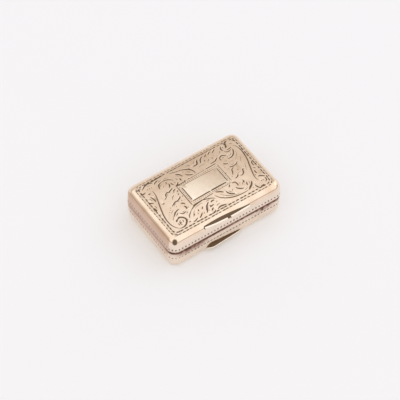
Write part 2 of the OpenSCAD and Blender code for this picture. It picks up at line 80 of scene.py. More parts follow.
# Each cut is its widest width and the points that it runs through, in millimetres on the
# lid's top, from the middle of the lid with x along the length and y to the hinge.
SCROLL_CUTS = {
    "left stem": [
        (0.36, (-12.35, 6.6), (-12.25, 5.4), (-12.45, 4.0), (-12.95, 2.4), (-13.6, 0.4),
         (-14.3, -2.2), (-14.55, -4.4), (-14.3, -6.4), (-13.5, -7.8), (-12.6, -8.3)),
    ],
    "near volute": [
        (0.52, (-12.7, -6.0), (-12.2, -5.5), (-11.2, -5.15), (-10.3, -5.9), (-10.12, -6.8),
         (-10.75, -7.7), (-11.7, -8.25), (-13.2, -8.3)),
        (0.4, (-12.75, -6.1), (-12.35, -5.55), (-11.9, -5.35)),
        (0.28, (-11.4, -6.0), (-12.0, -6.4), (-12.1, -7.1), (-11.9, -7.75)),
        (0.28, (-12.55, -6.4), (-12.6, -6.9), (-12.5, -7.5)),
        (0.24, (-11.1, -6.1), (-11.05, -6.7), (-11.4, -7.1)),
        (0.3, (-11.9, -6.75), (-11.65, -6.8)),
    ],
    "near leaf": [
        (0.4, (-12.5, -4.4), (-11.9, -3.8), (-11.2, -3.2), (-10.4, -2.88), (-9.6, -2.85)),
        (0.36, (-10.6, -4.0), (-9.8, -4.6), (-9.2, -4.6), (-8.55, -4.4)),
        (0.28, (-8.5, -4.6), (-8.75, -5.2)),
        (0.44, (-8.25, -2.65), (-7.98, -3.1), (-7.95, -3.6), (-8.25, -4.1)),
        (0.42, (-8.6, -1.55), (-8.1, -1.65), (-7.75, -1.95), (-7.45, -2.35)),
        (0.42, (-10.95, -1.15), (-10.3, -0.8), (-9.5, -0.38), (-8.8, -0.36), (-8.25, -0.85)),
        (0.42, (-8.7, -0.35), (-8.1, -0.1), (-7.6, 0.15), (-7.2, 0.65)),
        (0.4, (-10.45, 2.1), (-10.2, 2.9), (-9.8, 3.35), (-9.0, 3.6)),
        (0.4, (-9.0, 3.0), (-8.6, 3.4), (-8.0, 3.7), (-7.2, 4.05)),
        (0.38, (-8.0, 2.75), (-7.4, 3.1), (-6.75, 3.3)),
        (0.26, (-11.4, 1.7), (-10.7, 2.1), (-10.2, 2.3)),
        (0.28, (-9.5, 3.55), (-8.9, 3.3), (-8.4, 3.5)),
        (0.38, (-7.0, 2.05), (-6.65, 2.65)),
        (0.36, (-7.45, 1.05), (-6.95, 1.65)),
        (0.26, (-9.45, 0.9), (-9.0, 1.4), (-8.2, 1.8)),
        (0.22, (-10.15, -2.0), (-9.75, -1.6)),
        (0.16, (-12.6, -3.1), (-11.9, -2.6), (-11.1, -2.2)),
        (0.16, (-13.3, -5.3), (-12.9, -4.7), (-12.4, -3.8)),
        (0.18, (-11.9, -4.5), (-11.2, -3.95), (-10.5, -3.6)),
        (0.16, (-10.6, -1.5), (-9.9, -1.0), (-9.2, -0.8)),
        (0.16, (-10.0, 2.2), (-9.7, 2.8), (-9.1, 3.1)),
        (0.16, (-8.5, 2.3), (-7.9, 2.5), (-7.3, 2.6)),
        (0.2, (-9.6, 0.55), (-9.3, 1.0)),
        (0.16, (-9.9, -4.1), (-9.3, -4.2), (-8.8, -4.0)),
    ],
    "near middle leaf": [
        (0.36, (-7.7, -5.1), (-7.0, -4.75), (-6.2, -4.35), (-5.4, -4.12), (-4.4, -4.0),
         (-3.3, -4.0)),
        (0.32, (-3.6, -3.75), (-2.6, -4.0), (-1.5, -4.35), (-0.7, -4.7), (0.2, -5.4)),
        (0.3, (-9.2, -7.1), (-8.9, -6.3), (-8.3, -5.7), (-7.4, -5.0)),
        (0.34, (-7.7, -6.85), (-7.35, -6.35)),
        (0.36, (-6.05, -6.4), (-5.65, -5.7)),
        (0.36, (-4.9, -6.4), (-4.2, -5.5)),
        (0.5, (-4.5, -8.1), (-4.0, -7.5), (-3.65, -6.9), (-3.3, -6.2), (-2.8, -5.7),
         (-2.0, -5.15)),
        (0.4, (-7.0, -8.35), (-6.4, -8.0), (-5.9, -7.6), (-5.3, -7.15)),
        (0.36, (-9.1, -8.45), (-8.5, -8.4), (-7.9, -8.2), (-7.2, -7.85)),
        (0.34, (-10.15, -7.95), (-9.4, -7.7)),
        (0.44, (-1.75, -5.8), (-1.3, -5.5), (-0.8, -5.45), (-0.35, -5.65)),
        (0.36, (-2.4, -6.2), (-2.5, -7.1)),
        (0.36, (-2.5, -6.95), (-2.0, -6.75), (-1.25, -6.6)),
        (0.46, (-2.85, -8.2), (-2.6, -7.8), (-2.0, -7.45)),
        (0.38, (-3.0, -8.9), (-2.5, -8.8), (-2.0, -8.35)),
        (0.5, (-1.45, -8.55), (-0.7, -8.25), (0.0, -8.15), (0.7, -8.3), (1.6, -8.55)),
        (0.26, (-3.6, -7.9), (-3.2, -7.5)),
        (0.16, (-8.2, -7.4), (-7.7, -6.6), (-7.0, -5.7), (-6.3, -5.2)),
        (0.16, (-6.6, -5.2), (-5.6, -4.8), (-4.4, -4.6), (-3.2, -4.7)),
        (0.2, (-6.7, -7.1), (-6.3, -6.5)),
        (0.2, (-5.3, -7.9), (-4.8, -7.2)),
        (0.18, (-2.9, -5.0), (-2.1, -4.75), (-1.2, -4.9)),
        (0.2, (-1.2, -7.6), (-0.5, -7.3), (0.3, -7.3)),
        (0.2, (-0.5, -6.5), (0.1, -6.2)),
    ],
    "near right scroll": [
        (0.36, (0.35, -4.1), (0.7, -4.9), (1.2, -5.7), (2.0, -6.4), (3.0, -7.0), (4.4, -7.55),
         (6.0, -7.85), (7.8, -7.95), (9.1, -7.85)),
        (0.46, (1.2, -3.7), (2.0, -3.95), (2.7, -4.4), (3.1, -4.95)),
        (0.48, (3.75, -4.8), (3.85, -5.5), (4.2, -6.1), (4.8, -6.6), (5.5, -6.95)),
        (0.38, (5.2, -4.55), (5.4, -4.0), (5.9, -3.65)),
        (0.4, (6.5, -3.75), (7.1, -3.52), (7.55, -3.9), (7.66, -4.6), (7.45, -5.35)),
        (0.44, (6.6, -5.1), (6.9, -5.8), (7.3, -6.15), (7.8, -6.5), (8.5, -6.7)),
        (0.4, (9.42, -5.35), (9.5, -4.7), (9.8, -4.2)),
        (0.36, (9.65, -6.55), (9.8, -5.9), (10.15, -5.2)),
        (0.56, (9.0, -7.95), (9.7, -7.5), (10.3, -7.1), (10.9, -6.5), (11.4, -5.65)),
        (0.46, (11.35, -7.4), (11.6, -8.3), (11.95, -8.95)),
        (0.4, (12.4, -8.5), (12.9, -8.75), (13.3, -8.6), (13.6, -8.95)),
        (0.22, (5.2, -5.8), (5.7, -5.2)),
        (0.16, (1.7, -4.6), (2.2, -5.3), (3.0, -6.1), (4.0, -6.8)),
        (0.16, (2.6, -5.9), (3.4, -6.5), (4.4, -7.0), (5.6, -7.35), (7.0, -7.45)),
        (0.18, (4.4, -5.0), (4.6, -5.7), (5.2, -6.2)),
        (0.2, (8.2, -4.9), (8.5, -4.5)),
        (0.18, (8.6, -5.8), (8.9, -5.2), (9.1, -4.7)),
        (0.16, (10.3, -6.5), (10.6, -5.9), (10.8, -5.2)),
        (0.16, (7.9, -7.4), (8.8, -7.2), (9.5, -6.9)),
    ],
    "far leaf": [
        (0.44, (9.8, -2.75), (10.4, -2.75), (10.9, -2.6), (11.35, -2.1), (11.55, -1.5),
         (11.75, -1.2), (12.25, -1.3)),
        (0.38, (8.1, -2.75), (8.8, -2.65), (9.2, -2.45), (9.8, -2.05)),
        (0.38, (8.35, -1.5), (8.7, -0.9), (9.0, -0.3), (9.1, 0.1), (9.5, 0.45), (10.2, 0.65)),
        (0.44, (9.15, 1.6), (9.6, 1.2), (10.2, 1.05), (10.9, 1.1), (11.5, 1.35), (12.2, 1.85)),
        (0.38, (8.5, 3.2), (8.9, 2.8), (9.7, 2.5)),
        (0.44, (8.4, 4.85), (8.8, 5.3), (9.2, 5.65), (9.7, 5.75), (10.2, 5.5), (10.6, 5.2),
         (11.1, 5.1)),
        (0.34, (8.7, 4.3), (8.75, 5.0)),
        (0.26, (10.5, 4.4), (11.05, 4.65)),
        (0.24, (10.3, -1.0), (10.6, -0.6), (10.9, -0.45)),
        (0.16, (9.3, -2.3), (9.9, -1.7), (10.6, -1.5)),
        (0.16, (9.7, 2.0), (10.4, 1.6), (11.2, 1.75)),
        (0.16, (9.0, 3.9), (9.6, 3.5), (10.2, 3.3)),
        (0.18, (9.1, 4.7), (9.6, 5.0), (10.1, 4.7)),
        (0.2, (12.2, -0.6), (12.6, -0.9)),
        (0.14, (11.6, 2.2), (12.6, 3.1), (13.5, 4.3), (14.0, 5.6)),
        (0.14, (12.5, 0.9), (13.3, 2.0), (13.9, 3.3)),
        (0.14, (12.3, -2.4), (12.9, -0.9), (13.5, 0.6)),
    ],
    "right stem": [
        (0.4, (14.2, 7.4), (14.9, 6.2), (15.15, 4.8), (15.1, 3.0), (14.7, 0.9), (14.1, -0.9),
         (13.5, -2.7), (13.0, -4.4), (12.85, -5.6), (13.0, -6.9)),
        (0.38, (15.6, -0.05), (15.1, -0.6), (14.95, -1.3), (15.0, -2.0)),
        (0.42, (14.15, -3.1), (14.03, -3.8), (14.2, -4.6)),
        (0.28, (14.3, -2.1), (14.6, -2.6), (15.0, -2.85)),
        (0.44, (13.5, -5.65), (14.2, -5.5), (14.7, -5.85), (15.1, -6.2), (15.5, -6.2)),
        (0.36, (15.05, -6.5), (15.1, -7.2), (14.9, -7.7), (14.3, -8.15)),
    ],
    "left border leaves": [
        (0.38, (-15.25, 1.45), (-15.0, 0.7), (-14.9, 0.2), (-15.25, -0.35)),
        (0.4, (-15.25, 2.5), (-15.1, 3.0), (-14.7, 2.9), (-14.15, 2.35)),
        (0.44, (-13.9, 4.9), (-13.6, 4.2), (-13.45, 3.5), (-13.55, 2.5)),
        (0.36, (-13.95, 5.85), (-13.45, 5.72), (-12.95, 5.95)),
        (0.42, (-15.45, 7.05), (-15.2, 6.7), (-14.7, 6.6), (-13.9, 6.85)),
        (0.18, (-14.6, 4.6), (-14.2, 3.9), (-14.1, 3.2)),
        (0.18, (-14.7, 1.9), (-14.4, 1.2), (-14.5, 0.4)),
        (0.16, (-13.0, 4.4), (-12.9, 3.6), (-13.3, 2.5)),
        (0.18, (-14.9, -1.3), (-14.8, -2.0)),
        (0.2, (-14.8, 8.3), (-14.3, 8.75)),
        (0.24, (-15.7, 8.0), (-15.4, 8.5), (-15.0, 8.9)),
    ],
    "far left scroll": [
        (0.44, (-14.6, 7.75), (-13.9, 8.2), (-13.3, 8.6), (-12.5, 8.85), (-11.7, 8.9),
         (-11.2, 8.7), (-10.85, 8.2)),
        (0.42, (-10.7, 7.6), (-10.2, 8.1), (-9.6, 8.3), (-9.0, 8.45)),
        (0.44, (-10.35, 5.35), (-10.15, 6.1), (-9.9, 6.7), (-9.4, 7.1), (-8.6, 7.3)),
        (0.34, (-8.9, 7.3), (-7.8, 7.35), (-7.0, 7.15), (-6.5, 6.85), (-6.0, 6.4),
         (-5.55, 5.95)),
        (0.4, (-8.1, 4.4), (-7.6, 4.9), (-7.4, 5.4), (-7.35, 6.0)),
        (0.36, (-7.8, 6.0), (-7.75, 6.75)),
        (0.4, (-6.8, 5.8), (-6.7, 5.2), (-6.35, 4.7)),
        (0.16, (-9.8, 5.9), (-9.4, 6.5), (-8.7, 6.8)),
        (0.16, (-9.3, 5.3), (-8.9, 5.8), (-8.4, 6.1)),
        (0.18, (-8.0, 7.9), (-7.0, 7.8), (-6.0, 7.3)),
        (0.18, (-9.7, 7.7), (-9.0, 7.9), (-8.2, 7.9)),
        (0.2, (-6.0, 5.5), (-5.6, 5.0)),
        (0.16, (-12.9, 8.1), (-12.2, 8.2), (-11.5, 8.0)),
        (0.34, (-11.6, 8.7), (-10.4, 8.9), (-9.0, 9.0), (-7.0, 9.03)),
        (0.2, (-7.6, 9.0), (-4.0, 9.1), (2.0, 9.2), (8.0, 9.25), (11.2, 9.3)),
    ],
    "far middle leaf": [
        (0.42, (-6.4, 3.95), (-5.6, 4.25), (-4.95, 4.9)),
        (0.4, (-4.0, 4.6), (-4.0, 5.75)),
        (0.26, (-4.6, 5.4), (-4.9, 6.4)),
        (0.46, (-4.3, 7.45), (-3.5, 7.0), (-3.1, 6.4), (-2.92, 5.6)),
        (0.44, (-2.0, 6.1), (-1.6, 5.5), (-1.1, 5.1), (-0.5, 4.9), (-0.05, 4.6)),
        (0.44, (-2.8, 8.05), (-1.8, 7.7), (-1.0, 7.3), (-0.3, 6.95), (0.1, 6.5), (0.4, 5.9),
         (0.55, 5.2), (0.45, 4.5)),
        (0.28, (-5.7, 8.6), (-4.4, 8.3), (-3.2, 8.0), (-2.3, 7.75)),
        (0.32, (1.0, 6.95), (1.9, 6.9), (2.5, 6.85)),
        (0.56, (2.1, 6.85), (2.7, 7.1), (2.9, 7.6), (3.1, 8.0), (3.4, 8.3)),
        (0.42, (3.2, 6.75), (3.7, 7.0), (4.0, 7.5), (4.3, 8.0), (4.7, 8.25), (5.3, 8.65)),
        (0.42, (5.6, 7.8), (6.1, 8.3), (6.5, 8.7)),
        (0.42, (6.8, 8.0), (7.4, 8.5), (8.0, 8.8)),
        (0.42, (8.1, 7.9), (8.7, 8.35), (9.5, 8.75)),
        (0.36, (4.7, 6.65), (5.2, 7.1)),
        (0.36, (5.7, 6.2), (6.2, 6.8)),
        (0.36, (6.95, 6.25), (7.4, 6.8)),
        (0.42, (5.4, 5.05), (6.5, 5.1), (7.2, 5.2), (7.7, 5.5), (8.5, 5.95)),
        (0.18, (-3.6, 6.0), (-3.9, 6.6), (-4.6, 7.0)),
        (0.18, (-1.4, 6.6), (-0.8, 6.1), (-0.4, 5.6)),
        (0.18, (-2.3, 7.1), (-1.6, 6.7)),
        (0.16, (1.4, 5.3), (2.6, 5.9), (3.8, 6.0), (5.0, 5.7)),
        (0.2, (1.6, 7.7), (2.2, 8.1), (2.7, 8.6)),
        (0.2, (8.6, 6.3), (9.0, 6.7)),
        (0.2, (-0.6, 8.3), (0.3, 8.0), (1.2, 7.7)),
        (0.2, (9.4, 6.6), (9.9, 7.0), (10.3, 7.6)),
        (0.2, (7.6, 7.0), (8.2, 7.3)),
    ],
    "far volute": [
        (0.46, (10.3, 3.88), (11.0, 3.85), (11.7, 3.95), (12.3, 4.2), (12.75, 4.6),
         (13.1, 5.1), (13.35, 5.7), (13.5, 6.5)),
        (0.48, (11.3, 8.6), (10.9, 8.1), (10.85, 7.5), (11.0, 6.8)),
        (0.34, (11.0, 6.7), (11.5, 6.1), (12.0, 5.95), (12.6, 6.0), (13.2, 6.3)),
        (0.36, (11.85, 6.7), (12.6, 6.62), (13.7, 6.85)),
        (0.34, (12.1, 7.2), (12.4, 7.6), (12.6, 8.15)),
        (0.28, (13.1, 7.3), (13.3, 7.8)),
        (0.28, (11.45, 7.6), (11.7, 8.3)),
        (0.5, (12.2, 7.35), (12.5, 7.8), (12.65, 8.15)),
        (0.2, (11.2, 4.5), (11.9, 4.7), (12.4, 5.2)),
        (0.2, (13.6, 8.2), (14.2, 7.9), (14.6, 7.5)),
        (0.44, (12.9, 9.05), (13.4, 9.15)),
    ],
}
# Punched dots: diameter, then the places
PUNCHED_DOTS = [
    (0.46, (-7.65, -0.8), (-6.7, 0.2), (-7.45, -3.65), (-11.1, -4.0), (7.2, 0.1)),
    (0.74, (-12.2, 0.95)),
    (0.4, (-12.5, -2.3), (-11.95, -1.85), (-11.5, -1.25), (-13.1, 5.05), (8.0, 1.9), (8.6, 1.1)),
    (0.5, (-13.1, 7.3), (-12.45, 7.3), (-11.85, 7.25), (13.6, -7.2), (14.2, -7.2), (13.4, -4.6)),
    (0.42, (10.5, -7.9), (7.95, -1.75), (8.55, 3.2), (-2.0, 4.25), (-3.3, 4.3), (13.2, 9.0)),
    (0.26, (-13.0, -2.9), (-13.4, -3.5), (-13.9, -4.0), (-9.0, -2.2), (-13.7, 1.75), (-10.95, 4.8)),
    (0.26, (2.2, -5.9), (1.6, -7.1), (8.3, -4.6), (9.0, -5.9), (10.6, 3.05), (11.7, 4.7)),
]
# Cartouche: the polished panel's corners, and the lines round it and round its band
PANEL_LOW, PANEL_HIGH = (-5.25, -2.6), (6.1, 3.1)
# How soon the panel's bow ends at its long edges
PANEL_FLATNESS = 8.0
CARTOUCHE_LINES = [
    (0.48, (-5.25, -2.4), (-5.25, 2.95)),
    (0.42, (-6.2, -3.95), (-6.2, 3.8)),
    (0.46, (6.1, -2.5), (6.1, 3.1)),
    (0.3, (7.0, -3.0), (6.95, 4.2)),
    (0.3, (-5.1, 3.1), (6.0, 3.1)),
    (0.5, (-6.5, 3.82), (-2.8, 3.98)),
    (0.26, (-3.0, 3.98), (3.5, 4.25)),
    (0.44, (3.3, 4.28), (7.0, 4.4)),
    (0.4, (-5.6, -2.68), (0.6, -2.6)),
    (0.46, (0.4, -2.6), (5.8, -2.45)),
    (0.44, (-6.3, -3.98), (-2.7, -3.82)),
    (0.36, (-2.9, -3.78), (0.7, -3.55)),
    (0.24, (0.6, -3.5), (7.0, -3.3)),
]
# Rows of small punches in the cartouche's band: ends and count
PUNCH_ROWS = [((-5.7, -3.25), (6.6, -2.9), 20), ((6.58, -2.6), (6.55, 3.6), 10),
              ((6.4, 3.75), (-5.6, 3.5), 20), ((-5.72, 3.2), (-5.72, -2.9), 10)]
# Dash borders: corners, corner radius, pitch, dash length and width
BORDERS = [
    ((-15.95, -9.72), (16.15, 9.75), 2.0, 1.15, 0.9, 0.44),
    ((-15.22, -8.97), (15.65, 9.2), 1.5, 1.25, 1.08, 0.52),
]
# Small stained dents under the seam: diameter, place along the front and drop from the seam
STAINS = [(1.1, 10.9, 1.05), (0.6, 11.7, 0.55), (0.65, 12.8, 1.0)]
# Dashes past these distances to the back and the ends are worn to this share of their width
WORN_BACK, WORN_ENDS, WORN_WIDTH = 8.5, 15.9, 0.75
# How far the border's dashes wander from their pitch and length, and the turn from dash to dash
BORDER_WANDER, BORDER_TURN = 0.07, 2.4
# Widths of the line that guides a dash border, and of a punch in the cartouche's band
GUIDE_WIDTH, PUNCH_WIDTH = 0.14, 0.42
# A cut's depth over its half-width, what the scrolls' widths are scaled by, the depth at which a
# cut is full of dirt, and the longest step along a cut
CUT_SLOPE = 0.55
CUT_SPREAD = 1.48
DIRTY_DEPTH = 0.07
SAMPLE_STEP = 0.3


# Sizes and colours a user would change

class VinaigretteForm(bpy.types.PropertyGroup):
    """Sizes of the box's skin, as its solids have them"""
    corner: bpy.props.FloatProperty(
        name="Corner", description="Corner radius in plan at the seam", default=2.7 * MM,
        unit="LENGTH")
    shoulder: bpy.props.FloatProperty(
        name="Shoulder", description="Radius of the rolled shoulder", default=1.8 * MM,
        unit="LENGTH")
    lean: bpy.props.FloatProperty(
        name="Lean", description="Lean of the walls out to the seam", default=math.radians(4),
        subtype="ANGLE")
    sheet: bpy.props.FloatProperty(
        name="Sheet", description="Thickness of the silver sheet", default=0.5 * MM,
        unit="LENGTH")
    dome: bpy.props.FloatProperty(
        name="Dome", description="Crown of the plates over a true flat", default=0.22 * MM,
        unit="LENGTH")
    panel_dome: bpy.props.FloatProperty(
        name="Panel dome", description="Bow of the polished panel along its length",
        default=0.15 * MM, unit="LENGTH")
    lid_rim: bpy.props.FloatProperty(
        name="Lid rim", description="Rounding of the lid's rim at the seam", default=0.36 * MM,
        unit="LENGTH")
    base_rim: bpy.props.FloatProperty(
        name="Base rim", description="Height of the base's soft rim at the seam",
        default=1.4 * MM, unit="LENGTH")
    base_rim_bend: bpy.props.FloatProperty(
        name="Base rim bend", description="Radius of the base's soft rim", default=3.2 * MM,
        unit="LENGTH")
    dash_rise: bpy.props.FloatProperty(
        name="Lid dash line", description="Height of the lid's dash line above the seam",
        default=1.23 * MM, unit="LENGTH")
    dash_drop: bpy.props.FloatProperty(
        name="Base dash line", description="Depth of the base's dash line below the seam",
        default=2.4 * MM, unit="LENGTH")
    dash_pitch: bpy.props.FloatProperty(
        name="Dash pitch", description="Pitch of the dash lines on the walls",
        default=1.015 * MM, unit="LENGTH")
    lip_tilt: bpy.props.FloatProperty(
        name="Lip tilt", description="Tilt of the lid's thumb lip", default=math.radians(2),
        subtype="ANGLE")
    edge_round: bpy.props.FloatProperty(
        name="Edge round", description="Rounding of worn edges", default=0.07 * MM,
        unit="LENGTH")


class VinaigretteFinish(bpy.types.PropertyGroup):
    """Colours of the metal, the dirt in the cuts and the sponge"""
    silver: bpy.props.FloatVectorProperty(
        name="Silver", description="Warm worn silver of the outside", subtype="COLOR", size=3,
        default=(0.93, 0.753, 0.597))
    tarnish: bpy.props.FloatVectorProperty(
        name="Tarnish", description="Deeper tone where polish misses", subtype="COLOR", size=3,
        default=(0.80, 0.60, 0.43))
    # The walls' paler silver is painted light: a brighter copy of the silver that stands in for the
    # pale floor they mirror
    sides: bpy.props.FloatVectorProperty(
        name="Sides", description="Paler silver of the walls", subtype="COLOR", size=3,
        default=(0.92, 0.775, 0.65))
    # The lips' paler silver is partly thumb wear and partly a painted highlight on their front
    # edges
    rubbed: bpy.props.FloatVectorProperty(
        name="Rubbed", description="Bare silver where thumbs rub", subtype="COLOR", size=3,
        default=(0.96, 0.85, 0.72))
    # The panel's brighter silver is partly its polish and partly a painted reflection of the bright
    # studio
    panel: bpy.props.FloatVectorProperty(
        name="Panel", description="Brightest silver of the polished panel", subtype="COLOR", size=3,
        default=(0.985, 0.855, 0.705))
    # This colour is also the painted shade on the thumb lips' ledges, undersides and ends
    cut_dirt_and_lip_shade: bpy.props.FloatVectorProperty(
        name="Cut dirt", description="Old polish and oxide in the cuts", subtype="COLOR", size=3,
        default=(0.15, 0.095, 0.055))
    seam_dirt: bpy.props.FloatVectorProperty(
        name="Seam dirt", description="Brown oxide along the seam", subtype="COLOR", size=3,
        default=(0.11, 0.045, 0.03))
    seam_stain: bpy.props.FloatVectorProperty(
        name="Seam stain", description="Copper tone where that oxide thins out", subtype="COLOR",
        size=3, default=(0.42, 0.25, 0.18))
    gilt: bpy.props.FloatVectorProperty(
        name="Gilt", description="Gilding of the inside", subtype="COLOR", size=3,
        default=(0.86, 0.60, 0.24))
    sponge: bpy.props.FloatVectorProperty(
        name="Sponge", description="Dry natural sponge", subtype="COLOR", size=3,
        default=(0.56, 0.37, 0.17))


class VinaigretteStage(bpy.types.PropertyGroup):
    """Camera, floor and light"""
    azimuth: bpy.props.FloatProperty(
        name="Azimuth", description="Camera's turn from the front", subtype="ANGLE",
        default=math.radians(-34.4))
    elevation: bpy.props.FloatProperty(
        name="Elevation", description="Camera's height angle", subtype="ANGLE",
        default=math.radians(52.2))
    distance: bpy.props.FloatProperty(
        name="Distance", description="Camera to lid", default=0.5, unit="LENGTH")
    pixels_per_mm: bpy.props.FloatProperty(
        name="Pixels per millimetre", description="Scale of the view at the lid, in a frame of 400",
        default=3.775)
    lid_pixel: bpy.props.FloatVectorProperty(
        name="Lid's pixel", description="Where the middle of the lid falls in a frame of 400",
        size=2, default=(203.8, 185.6))
    floor: bpy.props.FloatVectorProperty(
        name="Floor", description="Pale floor", subtype="COLOR", size=3,
        default=(0.93, 0.925, 0.93))


# The box's skin

SEAM_Z = (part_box("lid_wall")[0].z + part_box("base_wall")[1].z) / 2 / MM
# Steps of each corner and of the shoulder, and the wide step along the straight runs
CORNER_STEPS = 14
SHOULDER_STEPS = 14
RUN_STEP = 2.0
CORNER_SIGNS = ((1, 1), (-1, 1), (-1, -1), (1, -1))
# Lets the last point of a wall, which rounding can push past its girth, stay on its corner
GIRTH_SLACK = 1e-6
# Height of the dirt along the seam, and of the brown that fades out below it
SEAM_DIRT = 0.42
SEAM_VEIL = 2.5
# Stronger stretches of that brown on the base's front: strength, place along the front and reach
SEAM_SMEARS = ((0.9, -11.6, 3.4), (0.5, 11.2, 2.4))
# Painted reflection of the dark room on the near corner's shoulder: its way and reach from the
# corner's axis, and its half sizes
PAINTED_REFLECTION_AWAY = np.array((-0.565, -0.825))
PAINTED_REFLECTION_REACH = 2.42
PAINTED_REFLECTION_HALF = (1.08, 0.92)


def box_mm(node):
    """A solid's low and high corners in millimetres."""
    return [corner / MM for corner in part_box(node)]


class Skin:
    """Half of the cushion box: its plate, its rolled shoulder and its wall, lid or base."""

    def __init__(self, form, plate, wall, side):
        low, high = box_mm(wall)
        self.side = side
        self.rim = min(abs(low.z - SEAM_Z), abs(high.z - SEAM_Z))
        self.corner = form.corner / MM
        self.bend = self.corner * math.pi / 2
        self.lean = form.lean
        self.sheet = form.sheet / MM
        self.shoulder = form.shoulder / MM
        self.dome = form.dome / MM if side > 0 else 0.0
        self.panel_dome = form.panel_dome / MM if side > 0 else 0.0
        self.rim_high = (form.lid_rim if side > 0 else form.base_rim) / MM
        self.rim_bend = (form.lid_rim if side > 0 else form.base_rim_bend) / MM
        half = Vector((high.x - low.x, 0)) / 2
        flare = self.rim * math.tan(self.lean)
        self.depth = max(abs(value.z / MM - SEAM_Z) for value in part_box(plate))
        half_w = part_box(plate)[1].y / MM
        self.joint = self.depth - self.shoulder + self.shoulder * math.sin(self.lean)
        joint_out = self.shoulder * math.cos(self.lean)
        self.core_u = self.corner - self.joint * math.tan(self.lean) - joint_out
        self.core = np.array((half.x + flare - self.corner, half_w - self.core_u - joint_out))

    def place(self, flat, height):
        """Positions in metres from plan points and heights above or below the seam."""
        z = SEAM_Z + self.side * height
        return np.column_stack((flat, z)) * MM

    def plate(self, points, depth, inside):
        """Unrolled plan points of the plate and shoulder, sunk by depth, as positions."""
        core = np.clip(points, -self.core, self.core)
        out = points - core
        reach = np.linalg.norm(out, axis=1)
        turn = np.clip((reach - self.core_u) / self.shoulder, 0, None)
        radius = self.shoulder - depth - (self.sheet if inside else 0)
        rolled = np.where(reach <= self.core_u, reach, self.core_u + radius * np.sin(turn))
        away = out / np.maximum(reach, 1e-9)[:, None]
        height = self.depth - self.shoulder + radius * np.cos(turn)
        share = 1 - (points / (self.core + self.core_u)) ** 2
        height = height + self.dome * np.clip(share, 0, 1).prod(axis=1)
        middle = (np.array(PANEL_HIGH) + PANEL_LOW) / 2
        share = 1 - ((points - middle) / (np.array(PANEL_HIGH) - middle)) ** 2
        share[:, 1] *= PANEL_FLATNESS
        height = height + self.panel_dome * np.clip(share, 0, 1).prod(axis=1)
        return self.place(core + away * rolled[:, None], height)

    def front_y(self, z):
        """The front's outer surface at a height."""
        deep = abs(z - SEAM_Z)
        out = self.corner - deep * math.tan(self.lean)
        if deep > self.joint:
            rise = min(self.shoulder, deep - self.depth + self.shoulder)
            out = self.core_u + math.sqrt(self.shoulder ** 2 - rise ** 2)
        return -(self.core[1] + out)

    def runs(self):
        """The wall's four straight runs, each followed by a corner, right-hand end first."""
        long_run, short_run = 2 * self.core
        return [short_run, long_run, short_run, long_run]

    def girth(self):
        return sum(self.runs()) + 2 * math.pi * self.corner

    def sides(self):
        """Each run's angle, length, ways outward and forward, and the axis of the next corner."""
        for index, run in enumerate(self.runs()):
            angle = index * math.pi / 2
            away = np.array((math.cos(angle), math.sin(angle)))
            ahead = np.array((-away[1], away[0]))
            yield angle, run, away, ahead, self.core * CORNER_SIGNS[index]

    def wall(self, points, depth, inside):
        """Points along the wall and above its seam, sunk by depth, as positions."""
        along, height = np.clip(points[:, 0], 0, self.girth()), points[:, 1].copy()
        if inside:
            share = (height - self.rim) / (self.joint - self.rim)
            height = height - self.sheet * math.sin(self.lean) * share
        out = self.corner - height * math.tan(self.lean) - depth
        if inside:
            out = out - self.sheet / math.cos(self.lean)
        else:
            fall = np.clip(self.rim_high - (height - self.rim), 0, self.rim_high)
            out = out - (self.rim_bend - np.sqrt(self.rim_bend ** 2 - fall ** 2))
        flat = np.zeros_like(points)
        start = 0.0
        for angle, run, away, ahead, corner in self.sides():
            on_run = (along >= start) & (along <= start + run)
            back = corner - ahead * run
            flat[on_run] = (back + np.outer(along[on_run] - start, ahead)
                            + np.outer(out[on_run], away))
            start += run
            on_bend = (along > start) & (along <= start + self.bend + GIRTH_SLACK)
            turn = angle + (along[on_bend] - start) / self.corner
            ray = np.column_stack((np.cos(turn), np.sin(turn)))
            flat[on_bend] = corner + ray * out[on_bend][:, None]
            start += self.bend
        return self.place(flat, height)

    def front_middle(self):
        return self.girth() - self.bend - self.runs()[3] / 2

    def seam_dirt(self, points):
        """Share of brown dirt along the seam, thickest at the ends of the base's front."""
        gap = points[:, 1] - self.rim
        if self.side > 0:
            return np.clip(0.8 - 0.7 * gap / SEAM_DIRT, 0, 1)
        x = points[:, 0] - self.front_middle()
        near = 1 - 0.65 * np.clip((np.abs(x) - self.runs()[3] / 2 - 2.5) / 4, 0, 1)
        thick = 0.1 + sum(share * np.clip(1.6 - np.abs(x - middle) / reach, 0, 1)
                          for share, middle, reach in SEAM_SMEARS)
        veil = thick * np.clip(1 - gap / SEAM_VEIL, 0, 1) ** 1.3
        return np.clip(np.maximum(np.clip(1.6 - gap / SEAM_DIRT, 0, 1), veil) * near, 0, 1)

    def corner_spot(self, points):
        """Share of a painted dark reflection in a soft oval on the shoulder of the front left
        corner.
        """
        aside = np.array((-PAINTED_REFLECTION_AWAY[1], PAINTED_REFLECTION_AWAY[0]))
        out = points + self.core - PAINTED_REFLECTION_AWAY * PAINTED_REFLECTION_REACH
        oval = np.hypot(out @ PAINTED_REFLECTION_AWAY / PAINTED_REFLECTION_HALF[0], out @ aside / PAINTED_REFLECTION_HALF[1])
        return np.clip(2.0 * (1 - oval), 0, 1)

    def stations(self):
        """Places along the wall: close in the corners, wide on the runs."""
        marks = []
        start = 0.0
        for run in self.runs():
            count = max(2, round(run / RUN_STEP))
            marks.extend(np.linspace(start, start + run, count, endpoint=False))
            start += run
            marks.extend(np.linspace(start, start + self.bend, CORNER_STEPS, endpoint=False))
            start += self.bend
        return marks + [start]

